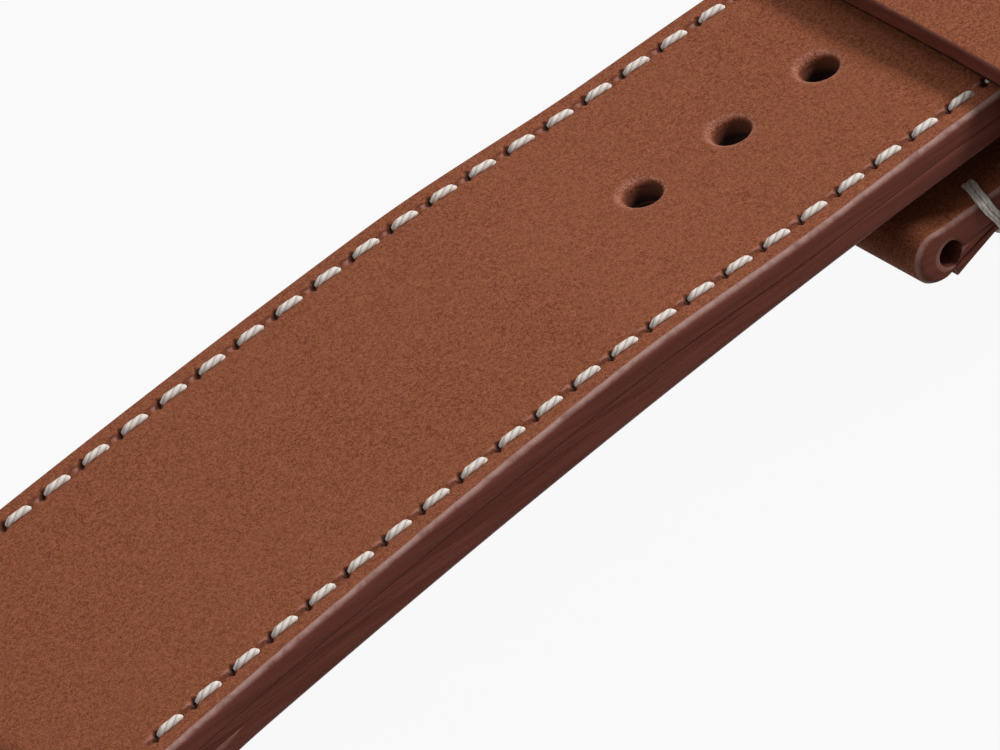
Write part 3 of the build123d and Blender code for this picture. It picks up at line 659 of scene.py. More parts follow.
def border(halves, cut, rows):
    """Values round a cell of the middle strip, from the near half's array and the far one's:
    along the near side, across at the cut's end, back along the far side and across."""
    near, far = (half[cut[0]:cut[1] + 1, rows] for half in halves)
    cell = np.concatenate([near, far[:, -2::-1]], 1)
    return np.concatenate([cell[:-1, 0], cell[-1], cell[-2:0:-1, -1], cell[0, :0:-1]])


def punch(size, faces, layer, sides, spots, cut, place, deep):
    """A round hole in its cell of the middle strip: rings that go from the cell's border to the
    hole's rounded rim, down its wall, and out again on the inner face. The rim is softer on one
    side, by the sine of the angle from an eighth of a turn."""
    rim_soft, rim_uneven, rim_turn = 0.00044, 0.0002, math.pi / 4
    lead, lead_dip, wall_in = 0.0007, 0.00001, 0.00002
    fray_depth, frays, fray_turn, rim_mark = 0.00002, 17, 9, 0.1
    outer_rows, inner_rows = np.arange(-STRIP_ROWS - 1, 0), np.arange(STRIP_ROWS, -1, -1)
    outer_spot, inner_spot = border(spots, cut, outer_rows), border(spots, cut, inner_rows)
    angle = np.arctan2(outer_spot[:, 1], outer_spot[:, 0] - place)
    round_spot = np.stack([np.cos(angle), np.sin(angle)], 1)
    middle = np.array([place, 0])
    level = angle * 0
    soft = rim_soft + rim_uneven * np.sin(angle - rim_turn)
    rings, depths = [outer_spot], [level]
    for share in (0.3, 0.55, 0.75, 0.9, 1):
        rings.append(outer_spot + (middle + round_spot * (size.hole + lead) - outer_spot) * share)
        depths.append(level + lead_dip * share)
    flat = len(rings)
    for turned in np.radians(np.linspace(10, 90, 7)):
        wide = size.hole + soft * (1 - math.sin(turned))
        rings.append(middle + round_spot * wide[:, None])
        depths.append(soft * (1 - math.cos(turned)))
    rim = len(rings)
    for share in (0.3, 0.6, 1):
        fray = fray_depth * np.sin(angle * frays + share * fray_turn) * (1 - share)
        rings.append(middle + round_spot * (size.hole - wall_in + fray)[:, None])
        depths.append(soft + (deep - soft) * share)
    wall = len(rings)
    rings += [(inner_spot + middle + round_spot * size.hole) / 2, inner_spot]
    depths += [level + deep] * 2
    spot, depth = np.stack(rings), np.stack(depths)
    x, z = skin(size, layer, spot[..., 0], depth)
    v = np.full(depth.shape, RIM_START)
    v[flat:rim] = np.linspace(RIM_START + rim_mark, RIM_STOP, rim - flat)[:, None]
    v[wall:] = INNER_FACE * MM
    index = faces.grid(np.stack([x, spot[..., 1], z], -1), np.stack([depth * MM, v], -1))
    faces.weld(index[0], border(sides, cut, outer_rows))
    faces.weld(index[-1], border(sides, cut, inner_rows))
    index = np.concatenate([index, index[:, :1]], 1)
    faces.quads(index[:rim - 1])
    faces.quads(index[rim - 2:wall], kind=1)
    faces.quads(index[wall - 1:])


# Layers of the strap

def long_upper_layer(size):
    """The long piece's upper leather: its face, and its fold round the spring bar."""
    full = size.long_lining + size.core + size.upper
    eye, bond = (0, full - size.roll), (size.fold_back, full - size.upper)
    tongue = (size.fold_back, size.long_lining)
    fold = rolled(eye, size.roll, tongue, eye, size.bore, bond, (0, full))
    return table(lambda d: long_top(size, d), lambda d: long_top(size, d) - size.upper,
                 0, size.long_length, False, [(True, 0, eye, size.bore, bond, fold)])


def long_lining_layer(size):
    """The long piece's lining, face down, pared where the upper leather folds back."""
    pare_fade = 0.01
    roll_bottom = size.long_lining + size.core + size.upper - 2 * size.roll
    pared = size.fold_back * -roll_bottom / (size.long_lining - roll_bottom) + size.fold_gap
    layer = table(lambda d: d * 0, lambda d: d * 0 + size.long_lining, pared, size.long_length,
                  False)
    lean = size.fold_back + size.fold_gap - pared
    layer["inner"][:, 0] += lean * (1 - fade(layer["run"], pared, pare_fade))
    return layer


def short_upper_layer(size):
    """The short piece's upper leather: its face, and its folds round both bars."""
    lug = size.buckle_place + size.short_length
    seat = -size.tail_gap - size.upper
    eye, bond = (0, -size.tail_gap - size.roll), (size.fold_back, seat)
    tongue, face = (size.fold_back, seat - size.core), (0, -size.tail_gap)
    fold = rolled(eye, size.roll, tongue, eye, size.bore, bond, face)
    nose = (-size.nose_lead, -size.buckle_drop - size.nose_depth)
    nose_eye = (0, -size.buckle_drop - size.eye_depth)
    nose_bond = (size.nose_fold, -size.buckle_drop - size.upper)
    nose_face = (0, -size.buckle_drop)
    nose_fold = rolled(nose, size.nose, nose_bond, nose_eye, size.eye, nose_bond, nose_face)
    return table(lambda d: short_top(size, d), lambda d: short_top(size, d) - size.upper,
                 size.buckle_place, lug, True,
                 [(True, size.buckle_place, nose_eye, size.eye, nose_bond, nose_fold),
                  (False, lug, eye, size.bore, bond, fold)])


def short_lining_layer(size):
    """The short piece's lining, face down, pared to a flap under the buckle's roll and to an
    edge at the watch."""
    pare_fade = 0.008
    bar, lug = size.buckle_place, size.buckle_place + size.short_length
    seat = -size.buckle_drop - size.upper
    face = seat - size.short_lining
    lowest = -size.buckle_drop - size.nose_depth - size.nose
    share = (size.flap_start + size.nose_lead) / (size.nose_fold + size.nose_lead)
    flap_top = lowest + share * (seat - lowest) - size.flap_gap
    flap = -size.buckle_drop - size.flap_depth
    lug_seat = -size.tail_gap - size.upper - size.core
    lug_lowest = -size.tail_gap - 2 * size.roll
    pared = size.fold_back * (lug_seat - size.short_lining - lug_lowest) / (lug_seat - lug_lowest)
    stop = lug - pared - size.fold_gap
    start, joint = bar + size.flap_start, bar + size.flap_stop
    fold_end = bar + size.nose_fold + size.fold_gap

    def lower(d):
        """Height of the lining's face."""
        share = np.clip((d - start) / (joint - start), 0, 1)
        under = short_under(size, d) - size.short_lining
        return np.where(d < joint, flap + (face - flap) * share, under)

    def upper(d):
        """Height of its side towards the upper leather."""
        share = np.clip((d - start) / (fold_end - start), 0, 1)
        return np.where(d < fold_end, flap_top + (seat - flap_top) * share, short_under(size, d))

    layer = table(lower, upper, start, stop, True)
    lean = stop - (lug - size.fold_back - size.fold_gap)
    layer["inner"][:, 0] -= lean * fade(layer["run"], stop - pare_fade, pare_fade)
    return layer


def plain_layer(face, into, start, stop, bent):
    """A face with its inside at a fixed distance, for threads that lie on it."""
    return table(face, lambda d: face(d) + into, start, stop, bent)


def long_seam(size):
    """The seam round the long piece."""
    return seam_of(size, size.seam_start, size.long_length - size.tip_length, long_half, True)


def short_seam(size):
    """The seam along either edge of the short piece."""
    start = size.buckle_place + size.short_seam
    stop = size.buckle_place + size.short_length - size.seam_start
    return seam_of(size, start, stop, short_half, False)


# Threads

def lay_stitches(size, faces, layer, start, stop, rise, swell):
    """Stitches between pairs of flat points: round tubes whose middle line has the heights of
    rise and whose radius is that of swell, both given at even shares of the way."""
    around, twist_shift = 8, 0.37
    share = np.linspace(0, 1, len(rise))
    turned = np.linspace(0, 2 * math.pi, around + 1)
    way = stop - start
    length = np.hypot(way[:, 0], way[:, 1])
    side = np.stack([-way[:, 1], way[:, 0]], 1) / length[:, None]
    out, up = np.outer(swell, np.cos(turned)), np.outer(swell, np.sin(turned)) + rise[:, None]
    plan = start[:, None] + way[:, None] * share[None, :, None]
    run, y = (plan[:, :, None, i] + out[None] * side[:, None, None, i] for i in (0, 1))
    x, z = skin(size, layer, run, -np.broadcast_to(up[None], run.shape))
    u = np.broadcast_to(share[None, :, None] * length[:, None, None] / size.thread, run.shape)
    u = u + np.arange(len(start))[:, None, None] * twist_shift
    v = np.broadcast_to(turned / (2 * math.pi), run.shape)
    index = faces.grid(np.stack([x, y, z], -1), np.stack([u, v], -1))
    for grid in index:
        faces.weld(grid[:, -1], grid[:, 0])
        faces.quads(grid)
        faces.ring(grid[0, :-1])
        faces.ring(grid[-1, :-1])


def seam_thread(size, name, layer, seam, far, materials):
    """A seam's thread. Each stitch comes up at one slanted slit, lies on the leather for three
    fifths of the way towards +X, and goes in under the lip before the next slit. Past the end
    of the near edge, the stitches are those of the near edge mirrored and followed back."""
    first_share, last_share = 0.035, 0.86
    rise_depth, rise_share = 0.0002, 0.16
    dive_depth, dive_from, dive_share = 0.0005, 0.64, 0.36
    thinner, swell_share, thin_from, thin_share = 0.3, 0.22, 0.66, 0.34
    faces = Faces()
    c, s = math.cos(size.slant), math.sin(size.slant)
    number = np.arange(seam["count"] + 1)
    near_end = seam["count"] / 2 if seam["tip"] else (-1 if far else math.inf)
    over = number > near_end
    distance, y, du, dy = near_row(size, seam, np.where(over, seam["count"] - number, number))
    sign = np.where(over, -1, 1)
    y, du = y * sign, du * sign
    middle = np.stack([distance, y], 1)
    slit = np.stack([du * c - dy * s, dy * c + du * s], 1) * size.leg
    start, stop = middle[:-1] + slit[:-1], middle[1:] - slit[1:]
    flip = (number[:-1] + 0.5 > near_end)[:, None]
    start, stop = np.where(flip, stop, start), np.where(flip, start, stop)
    start, stop = start + (stop - start) * first_share, start + (stop - start) * last_share
    share = np.linspace(0, 1, 12)
    radius = size.thread / 2
    rise = size.proud - radius - rise_depth * (1 - fade(share, 0, rise_share))
    rise -= dive_depth * fade(share, dive_from, dive_share)
    thin = 1 - fade(share, 0, swell_share) + fade(share, thin_from, thin_share)
    lay_stitches(size, faces, layer, start, stop, rise, radius * (1 - thinner * thin))
    return faces.finish(name, materials, THREAD_CREASE)


# Bands and loops round the strap

def hoop(size, faces, loop, section, tone, along, place, shut):
    """A section carried round a loop: loop points are y and height, section points are how far
    out of the loop and along the strap, and place is where the loop is along the strap, for
    each point or for all. The loop's outward direction is its tangent turned by a right angle.
    Texture places are the length round the loop, times along, and the section's tone."""
    steps = np.diff(np.concatenate([loop[-1:], loop, loop[:1]]), axis=0)
    if not shut:
        steps[0], steps[-1] = steps[1], steps[-2]
    steps /= np.hypot(steps[:, 0], steps[:, 1])[:, None]
    tangent = steps[:-1] + steps[1:]
    tangent /= np.hypot(tangent[:, 0], tangent[:, 1])[:, None]
    normal = np.stack([tangent[:, 1], -tangent[:, 0]], 1)
    y, height = (loop[:, None, i] + normal[:, None, i] * section[None, :, 0] for i in (0, 1))
    places = np.broadcast_to(np.reshape(place, (-1, 1)), (len(loop), 1))
    x, z = lay(size, places + section[None, :, 1], height)
    length = path_length(loop)[:, None] * along
    uv = np.stack([np.broadcast_to(length, y.shape), np.broadcast_to(tone[None], y.shape)], -1)
    index = faces.grid(np.stack([x, y, z], -1), uv)
    faces.quads(np.concatenate([index, index[:, :1]], 1))
    if shut:
        faces.quads(np.concatenate([index[-1:], index[:1]])[:, np.r_[0:len(section), 0]])
    else:
        faces.ring(index[0])
        faces.ring(index[-1])


def rounded_loop(half, top, bottom, corner, crown, gap):
    """Points round a rectangle with round corners, from the middle of the bottom and back to
    it, the top raised by crown * (1 - (y / half)^2)."""
    bottom_count, side_count, top_count, corner_count = 14, 8, 60, 9
    low, high, wide = bottom + corner, top - corner, half - corner
    places = (wide, low), (wide, high), (-wide, high), (-wide, low)
    a, b, c, d = (arc(place, corner, start, start + 90, corner_count)
                  for place, start in zip(places, (-90, 0, 90, 180)))
    parts = [line((gap / 2, bottom), a[0], bottom_count)[:-1], a,
             line(a[-1], b[0], side_count)[1:-1], b, line(b[-1], c[0], top_count)[1:-1], c,
             line(c[-1], d[0], side_count)[1:-1], d,
             line(d[-1], (-gap / 2, bottom), bottom_count)[1:]]
    loop = np.concatenate(parts)
    if gap == 0:
        loop = loop[:-1]
    raise_by = crown * np.clip(1 - (loop[:, 0] / half) ** 2, 0, None)
    loop[:, 1] += raise_by * fade(loop[:, 1], (top + bottom) / 2, (top - bottom) / 2)
    return loop


def keeper(size, name, place, width, room, floor, gap, materials):
    """A keeper: a flat strip of leather with rounded edges, carried round the strap. The parts
    of its section are quarter circles and straight runs, each with its texture inset, which
    goes below zero on the sides."""
    rim, soft, rim_inset, rim_below = 0.00014, 0.0002, 0.0003, 0.0002
    faces = Faces()
    top = size.long_lining + size.upper + size.band_gap
    outer = size.band / 2
    loop = rounded_loop(room + outer, top + outer, floor - outer,
                        size.band_corner - outer, size.band_crown, gap)
    share = np.linspace(0, 1, 7)
    turned = np.radians(90 * share)
    few = turned[::2]
    rise = (rim_inset + rim_below) * share - rim_below
    face = np.linspace(rim, width - rim, 16)[1:-1]
    side = np.linspace(outer - rim, soft - outer, 6)[1:-1]
    under = np.linspace(width - soft, soft, 7)[1:-1]
    parts = ((outer - rim + rim * np.sin(turned), rim - rim * np.cos(turned), rise),
             (face * 0 + outer, face, np.minimum(face, width - face) + rim_inset),
             (outer - rim + rim * np.cos(turned), width - rim + rim * np.sin(turned), rise[::-1]),
             (side, side * 0 + width, side - outer),
             (soft - outer - soft * np.sin(few), width - soft + soft * np.cos(few), KEEPER_LAP),
             (under * 0 - outer, under, INNER_FACE),
             (soft - outer - soft * np.cos(few), soft - soft * np.sin(few), KEEPER_LAP),
             (side[::-1], side * 0, side[::-1] - outer))
    section = np.concatenate([np.stack([out, along], 1) for out, along, _ in parts])
    tone = np.concatenate([np.broadcast_to(tone, len(out)) for out, _, tone in parts])
    hoop(size, faces, loop, section, tone * MM, MM, place, gap == 0)
    return faces.finish(name, materials)


def whip(size, name, side, materials):
    """Two strands side by side, each a round tube carried round the strap's edge on a
    rectangle with round corners. The outer run leans along the strap as it rises."""
    strand_share, past_edge, over_face, apart = 0.4, 0.75, 0.6, 1.04
    corner, lean_low, lean = 0.0005, 0.0004, 0.0009
    faces = Faces()
    place = size.buckle_place + size.whip
    radius = size.thread * strand_share
    half, top, under = (form(size, np.array([place]))[0]
                        for form in (short_half, short_top, short_under))
    inner, outer = half - size.whip_inset, half + radius * past_edge
    top += radius * over_face
    bottom = under - size.short_lining - radius * past_edge
    turned = np.linspace(0, 2 * math.pi, 11)[:-1]
    section = np.stack([np.cos(turned), np.sin(turned)], 1) * radius
    for shift in (-apart, apart):
        loop = rounded_loop((outer - inner) / 2, top, bottom, corner, 0, 0)
        loop[:, 0] = side * (loop[:, 0] + (outer + inner) / 2)
        if side < 0:
            loop = loop[::-1]
        outwards = fade(np.abs(loop[:, 0]), inner, outer - inner)
        slant = outwards * (lean_low - lean * fade(loop[:, 1], bottom, top - bottom))
        hoop(size, faces, loop, section, turned / (2 * math.pi), 1 / size.thread,
             place + slant + shift * radius, True)
    return faces.finish(name, materials, THREAD_CREASE)


def tacks(size, name, height, place, rows, materials):
    """Short stitches across the strap, two to a row, pulled in at their ends: the height falls
    by the sixth power of the place along the stitch, and the thickness by the fourth."""
    depth, thinner, reach, into = 0.0004, 0.3, 0.01, 0.001
    faces = Faces()
    layer = plain_layer(lambda d: d * 0 + height, into, place - reach, place + reach, False)
    shifts = (-size.tack_spread, size.tack_spread)
    spots = np.array([(place + shift, y) for y in rows for shift in shifts])
    half_way = np.array([0, size.tack_half])
    ends = np.abs(np.linspace(-1, 1, 15))
    rise = size.proud - size.thread / 2 - depth * ends**6
    swell = size.thread / 2 * (1 - thinner * ends**4)
    lay_stitches(size, faces, layer, spots - half_way, spots + half_way, rise, swell)
    return faces.finish(name, materials, THREAD_CREASE)


# Node sums

class Value:
    """A value that changes over the surface: a node's output. Sums of values are Math nodes."""

    def __init__(self, socket):
        self.socket = socket
        self.tree = socket.id_data

    def maths(self, operation, *others):
        """A Math node of this value and others, which are values or plain numbers."""
        inputs = dict(enumerate((self, *others)))
        return Value(put(self.tree, "ShaderNodeMath", inputs, operation=operation).outputs[0])

    def __add__(self, other):
        return self.maths("ADD", other)

    def __sub__(self, other):
        return self.maths("SUBTRACT", other)

    def __mul__(self, other):
        return self.maths("MULTIPLY", other)

    def __abs__(self):
        return self.maths("ABSOLUTE")

    def step(self, low, high, to_low=0.0, to_high=1.0):
        """A smooth step of the value between two limits."""
        inputs = {"Value": self, "From Min": low, "From Max": high, "To Min": to_low,
                  "To Max": to_high}
        node = put(self.tree, "ShaderNodeMapRange", inputs, interpolation_type="SMOOTHSTEP")
        return Value(node.outputs["Result"])


def join(value, socket):
    """Links a value to a socket, or sets a plain one on it."""
    if isinstance(value, Value):
        value.tree.links.new(value.socket, socket)
    else:
        socket.default_value = value


def put(tree, kind, inputs=None, **settings):
    """A shader node with its settings, and its inputs linked or set."""
    node = tree.nodes.new(kind)
    count, column, row = len(tree.nodes), 180, 190
    node.location = (count * column, (count % 5) * -row)
    for key, value in settings.items():
        setattr(node, key, value)
    for key, value in (inputs or {}).items():
        join(value, node.inputs[key])
    return node


def solid(colour):
    """A colour with full cover."""
    return (*colour, 1.0)


def blend(share, a, b):
    """A mix of two colours, each a value or a plain colour."""
    a, b = (colour if isinstance(colour, Value) else solid(colour) for colour in (a, b))
    node = put(share.tree, "ShaderNodeMix", {0: share, 6: a, 7: b}, data_type="RGBA")
    return Value(node.outputs[2])


def noise(spot, scale, detail, rough):
    """A noise texture's value, with scale spots to a metre."""
    inputs = {"Vector": spot, "Scale": scale, "Detail": detail, "Roughness": rough}
    return Value(put(spot.tree, "ShaderNodeTexNoise", inputs).outputs[0])


def object_place(tree):
    """Object coordinates."""
    return Value(put(tree, "ShaderNodeTexCoord").outputs["Object"])


def seam_place(tree):
    """Both numbers of a texture place: along the seam, and the inset in millimetres."""
    place = Value(put(tree, "ShaderNodeUVMap", uv_map="Seam").outputs[0])
    node = put(tree, "ShaderNodeSeparateXYZ", {0: place})
    return Value(node.outputs[0]), Value(node.outputs[1])


def group(name, takes, gives):
    """A new node group with named sockets, a vector where no default is given: its tree's
    inputs by name, and its output node."""
    tree = bpy.data.node_groups.new(name, "ShaderNodeTree")
    for label, default in takes.items():
        kind = "NodeSocketVector" if default is None else "NodeSocketFloat"
        socket = tree.interface.new_socket(name=label, in_out="INPUT", socket_type=kind)
        if default is not None:
            socket.default_value = default
    for label in gives:
        tree.interface.new_socket(name=label, in_out="OUTPUT", socket_type="NodeSocketFloat")
    sockets = tree.nodes.new("NodeGroupInput").outputs
    return {label: Value(sockets[label]) for label in takes}, tree.nodes.new("NodeGroupOutput")


def give(node, **values):
    """Links values to a group's outputs."""
    for name, value in values.items():
        join(value, node.inputs[name])


def placed(tree, name, **inputs):
    """The outputs of a copy of a node group."""
    node = put(tree, "ShaderNodeGroup", inputs, node_tree=bpy.data.node_groups[name])
    return {socket.name: Value(socket) for socket in node.outputs}


# Node groups

def grain_group():
    """Grain of smooth leather: broad clouds, fine fibres with small pits, and their height."""
    broad_scale, middle_scale, fibre_scale, fine_scale = 110, 900, 4200, 10500
    fibre_share, fine_share, fleck_height, pit_height = 0.35, 0.65, 2.0, 0.3
    cloud_limits, fleck_limits, pit_limits = (0.34, 0.66), (0.36, 0.64), (0.05, 0.42)
    takes, gives = group("Leather grain", {"Vector": None, "Fineness": 1.0},
                         ("Cloud", "Fleck", "Height"))
    scaled = put(takes["Vector"].tree, "ShaderNodeVectorMath",
                 {0: takes["Vector"], "Scale": takes["Fineness"]}, operation="SCALE")
    spot = Value(scaled.outputs[0])
    broad, middle = noise(spot, broad_scale, 3, 0.55), noise(spot, middle_scale, 4, 0.6)
    fibre, fine = noise(spot, fibre_scale, 3, 0.6), noise(spot, fine_scale, 2, 0.6)
    pores = put(spot.tree, "ShaderNodeTexVoronoi", {"Vector": spot, "Scale": fibre_scale})
    pit = Value(pores.outputs["Distance"]).step(*pit_limits)
    cloud, fleck = broad * 0.5 + middle * 0.5, fibre * fibre_share + fine * fine_share
    give(gives, Cloud=cloud.step(*cloud_limits), Fleck=fleck.step(*fleck_limits),
         Height=fleck * fleck_height + pit * pit_height)


def edge_group():
    """Burnished edges, from the inset in millimetres, which is below zero on the sides: the side
    itself, the bevelled rim over it, where a highlight is painted, the inner edge of a fold or a
    keeper, where a highlight round a bore and shadow under a keeper are painted, and streaks that
    run with the strap. Each lies between limits of the inset, made ragged, and the rim and inner
    edge show in random patches."""
    ragged_scale, ragged_width, patch_limits = 1500, 0.16, (0.25, 0.6, 0.45, 1.0)
    side_limits, rim_inner, rim_outer = (0.28, 0.18), (0.3, 0.22), (-0.34, 0.1)
    lap_start, lap_stop = (-2.2, -3.0), (-6.0, -4.6)
    streak_scales, streak_limits = (90, 500, 2200), (0.36, 0.64)
    takes, gives = group("Edge burnish", {"Inset": 1.0, "Vector": None},
                         ("Side", "Rim", "Lap", "Streak"))
    spot = takes["Vector"]
    ragged = noise(spot, ragged_scale, 4, 0.6)
    inset = (ragged - 0.5) * ragged_width + takes["Inset"]
    # Random patches in which the painted highlight of the rim and the paint on an inner edge show
    patches = ragged.step(*patch_limits)
    rim = inset.step(*rim_inner) * inset.step(*rim_outer)
    lap = inset.step(*lap_start) * inset.step(*lap_stop)
    long_way = put(spot.tree, "ShaderNodeMapping", {"Vector": spot, "Scale": streak_scales})
    streak = noise(Value(long_way.outputs[0]), 1.0, 5, 0.6)
    give(gives, Side=inset.step(*side_limits), Rim=rim * patches, Lap=lap * patches,
         Streak=streak.step(*streak_limits))


def seam_group(size):
    """Slanted awl slits, and before each the lip that the last stitch goes in under, from seam
    places: pitches along the seam and inset in millimetres. Past the turn the sides change.
    The marks' widths and places are in millimetres, and past_ends is in pitches."""
    past_ends, ragged_scale, slit_ragged, lip_ragged = 0.4, 4000, 0.12, 0.3
    slit_limits, slit_over, slit_full = (0.24, 0.09), 0.14, 0.04
    lip_start, lip_stop, lip_limits = (-0.75, -0.5), (0.12, 0.0), (0.34, 0.18)
    crest_shift, crest_limits = 0.16, (0.2, 0.05)
    takes, gives = group("Seam marks", {"Phase": 0.0, "Inset": 0.0, "Count": 10.0, "Turn": 1000.0,
                                        "Vector": None}, ("Slit", "Lip", "Crest"))
    phase, turned = takes["Phase"], takes["Turn"]
    ragged = noise(takes["Vector"], ragged_scale, 3, 0.6) - 0.5
    before_end = phase.maths("LESS_THAN", takes["Count"] + past_ends)
    here = phase.maths("GREATER_THAN", -past_ends) * before_end
    along = (phase - phase.maths("ROUND")) * (size.pitch * MM)
    inward = takes["Inset"] - size.inset * MM
    c, s, half = math.cos(size.slant), math.sin(size.slant), size.slit * MM / 2
    on, off = abs(along * c + inward * s), abs(along * -s + inward * c + ragged * slit_ragged)
    slit = off.step(*slit_limits) * on.step(half + slit_over, half - slit_full)
    forward = along * phase.step(turned - 0.01, turned, 1.0, -1.0) + ragged * lip_ragged
    before = forward.step(*lip_start) * forward.step(*lip_stop)
    across = inward + ragged * lip_ragged
    # The crest is the ridge of the lip, where a highlight is painted
    lip, crest = abs(across).step(*lip_limits), abs(across - crest_shift).step(*crest_limits)
    give(gives, Slit=slit * here, Lip=lip * before * here, Crest=crest * before * here)


def twist_group():
    """Strands of a twisted thread, from places along it in diameters and round it."""
    strands, twists, roundness, fuzz_scale = 3.0, 0.8, 0.6, 16000
    takes, gives = group("Thread twist", {"Along": 0.0, "Round": 0.0, "Vector": None},
                         ("Strand", "Fuzz"))
    turns = takes["Along"] * twists + takes["Round"] * strands
    wave = abs((turns * math.pi).maths("SINE"))
    give(gives, Strand=wave.maths("POWER", roundness),
         Fuzz=noise(takes["Vector"], fuzz_scale, 3, 0.6))


# Materials

def new_material(name, **constants):
    """A material with a Principled shader whose plain values are set on its own sockets."""
    material = bpy.data.materials.new(name)
    material.use_nodes = True
    tree = material.node_tree
    shader = tree.nodes["Principled BSDF"]
    for key, value in constants.items():
        shader.inputs[key.replace("_", " ")].default_value = value
    return tree, shader


def dress(shader, colour, rough, height, strength, depth):
    """Links colour, roughness and a bump of a height to a shader."""
    bump = put(shader.id_data, "ShaderNodeBump",
               {"Height": height, "Strength": strength, "Distance": depth})
    join(colour, shader.inputs["Base Color"])
    join(rough, shader.inputs["Roughness"])
    join(Value(bump.outputs[0]), shader.inputs["Normal"])


def leather_material(colours, name, seam, bevel_highlight, lap, tones):
    """Smooth leather with burnished edges and, where it has a seam, awl slits with painted shade in
    them. Seam is the number of stitches and where the seam turns back, bevel_highlight is the
    strength of the painted highlight on the bevel, lap is the colour and strength painted on inner
    edges: a faint highlight round a fold's bore, and shadow under a keeper. Tones are the main
    colour, the dark one and the light one. A hole's rim has a painted highlight at its foot and is
    darker at its edge, and the lips' crests have a painted highlight."""
    cloud_share, lip_share, crest_share, slit_share, slit_height = 0.3, 0.75, 0.6, 0.85, -2.0
    highlight_start, highlight_stop = (RIM_START, RIM_START + 0.25), (RIM_STOP - 0.3, RIM_STOP - 0.65)
    darker_start = (RIM_STOP - 0.6, RIM_STOP - 0.15)
    tree, shader = new_material(name, Specular_IOR_Level=0.06)
    spot, (phase, inset) = object_place(tree), seam_place(tree)
    grain = placed(tree, "Leather grain", Vector=spot)
    edge = placed(tree, "Edge burnish", Vector=spot, Inset=inset)
    (main, dark, light), fleck = tones, grain["Fleck"]
    colour = blend(grain["Cloud"] * cloud_share, blend(fleck, dark, main), light)
    side = blend(edge["Streak"] * 0.6 + 0.4, colours.edge_dark, colours.edge)
    # Painted highlight on the bevelled rim, at the strength given for each material
    side = blend(edge["Rim"] * bevel_highlight, side, colours.edge_highlight)
    # Inner edges: a faint painted highlight round the folds' bores, and painted shadow on the
    # keepers' inner rims
    side = blend(edge["Lap"] * lap[1], side, lap[0])
    colour = blend(edge["Side"], colour, side)
    # Painted highlight at the foot of a hole's rim
    rim_highlight = inset.step(*highlight_start) * inset.step(*highlight_stop) * (fleck * 0.6 + 0.1)
    colour = blend(rim_highlight, colour, colours.lip)
    # Darker towards the edge of a hole's rim
    darker_edge = inset.step(*darker_start) * (fleck * -0.4 + 0.95)
    colour = blend(darker_edge, colour, colours.edge_dark)
    rough = fleck * -0.08 + 0.7 + edge["Side"] * -0.12 + edge["Rim"] * -0.1
    height = grain["Height"] * (edge["Side"] * -0.6 + 1.0) + edge["Side"] * edge["Streak"] * 0.3
    if seam:
        marks = placed(tree, "Seam marks", Vector=spot, Phase=phase, Inset=inset, Count=seam[0],
                       Turn=seam[1])
        colour = blend(marks["Lip"] * lip_share, colour, colours.edge_dark)
        # Painted highlight on the lips' crests
        colour = blend(marks["Crest"] * crest_share, colour, colours.lip)
        # Painted shade in the slits
        colour = blend(marks["Slit"] * slit_share, colour, colours.pit)
        height = height + marks["Slit"] * slit_height
    dress(shader, colour, rough, height, 0.5, 0.00006)


def cut_material(colours, name, main, punched, fleck_share, streak_share, least):
    """Cut or split leather without a face: fibres in two browns, rough and dull, and in a punched
    hole darker with the depth in millimetres, as painted shade."""
    shade_depths = (0.7, 1.25)
    tree, shader = new_material(name, Specular_IOR_Level=0.1)
    spot = object_place(tree)
    grain = placed(tree, "Leather grain", Vector=spot, Fineness=0.8)
    streak = placed(tree, "Edge burnish", Vector=spot, Inset=-1.0)["Streak"]
    share = streak * streak_share + grain["Fleck"] * fleck_share + least
    colour = blend(share, colours.edge_dark, main)
    if punched:
        # Painted shade: darker with the depth in the hole
        colour = blend(seam_place(tree)[0].step(*shade_depths), colour, colours.pit)
    height = grain["Height"] * fleck_share + streak
    dress(shader, colour, grain["Fleck"] * 0.15 + 0.7, height, 0.5, 0.00008)


def thread_material(colours, name):
    """Waxed thread of three strands."""
    tree, shader = new_material(name, Specular_IOR_Level=0.35)
    along, round_it = seam_place(tree)
    twist = placed(tree, "Thread twist", Along=along, Round=round_it, Vector=object_place(tree))
    fuzz, strand = twist["Fuzz"], twist["Strand"]
    # Darker in the grooves between the strands, as painted shade, and in random fuzz
    colour = blend(fuzz * 0.4 + strand * 0.8, colours.thread_dark, colours.thread)
    dress(shader, colour, fuzz * 0.25 + 0.5, fuzz * 0.3 + strand, 0.7, 0.0001)


def tape_material(colours, name):
    """Plain-woven tape: threads over and under each other."""
    tree, shader = new_material(name)
    threads, groove = 12000.0, 0.6
    spot = put(tree, "ShaderNodeSeparateXYZ", {0: object_place(tree)})
    warp, weft = ((Value(spot.outputs[i]) * threads).maths("SINE") for i in (0, 1))
    weave = warp * weft * 0.5 + 0.5
    # Painted shade: half the cells of the weave are darker, where a thread goes under
    colour = blend(weave, [groove * c for c in colours.tape], colours.tape)
    dress(shader, colour, weave * -0.15 + 0.85, weave, 0.7, 0.00005)


def background_rays(tree):
    """1 for rays from the camera or from a glossy or clear surface, and 0 for others."""
    path = put(tree, "ShaderNodeLightPath")
    camera, glossy, clear = (Value(path.outputs[f"Is {kind} Ray"])
                             for kind in ("Camera", "Glossy", "Transmission"))
    return camera.maths("MAXIMUM", glossy.maths("MAXIMUM", clear))


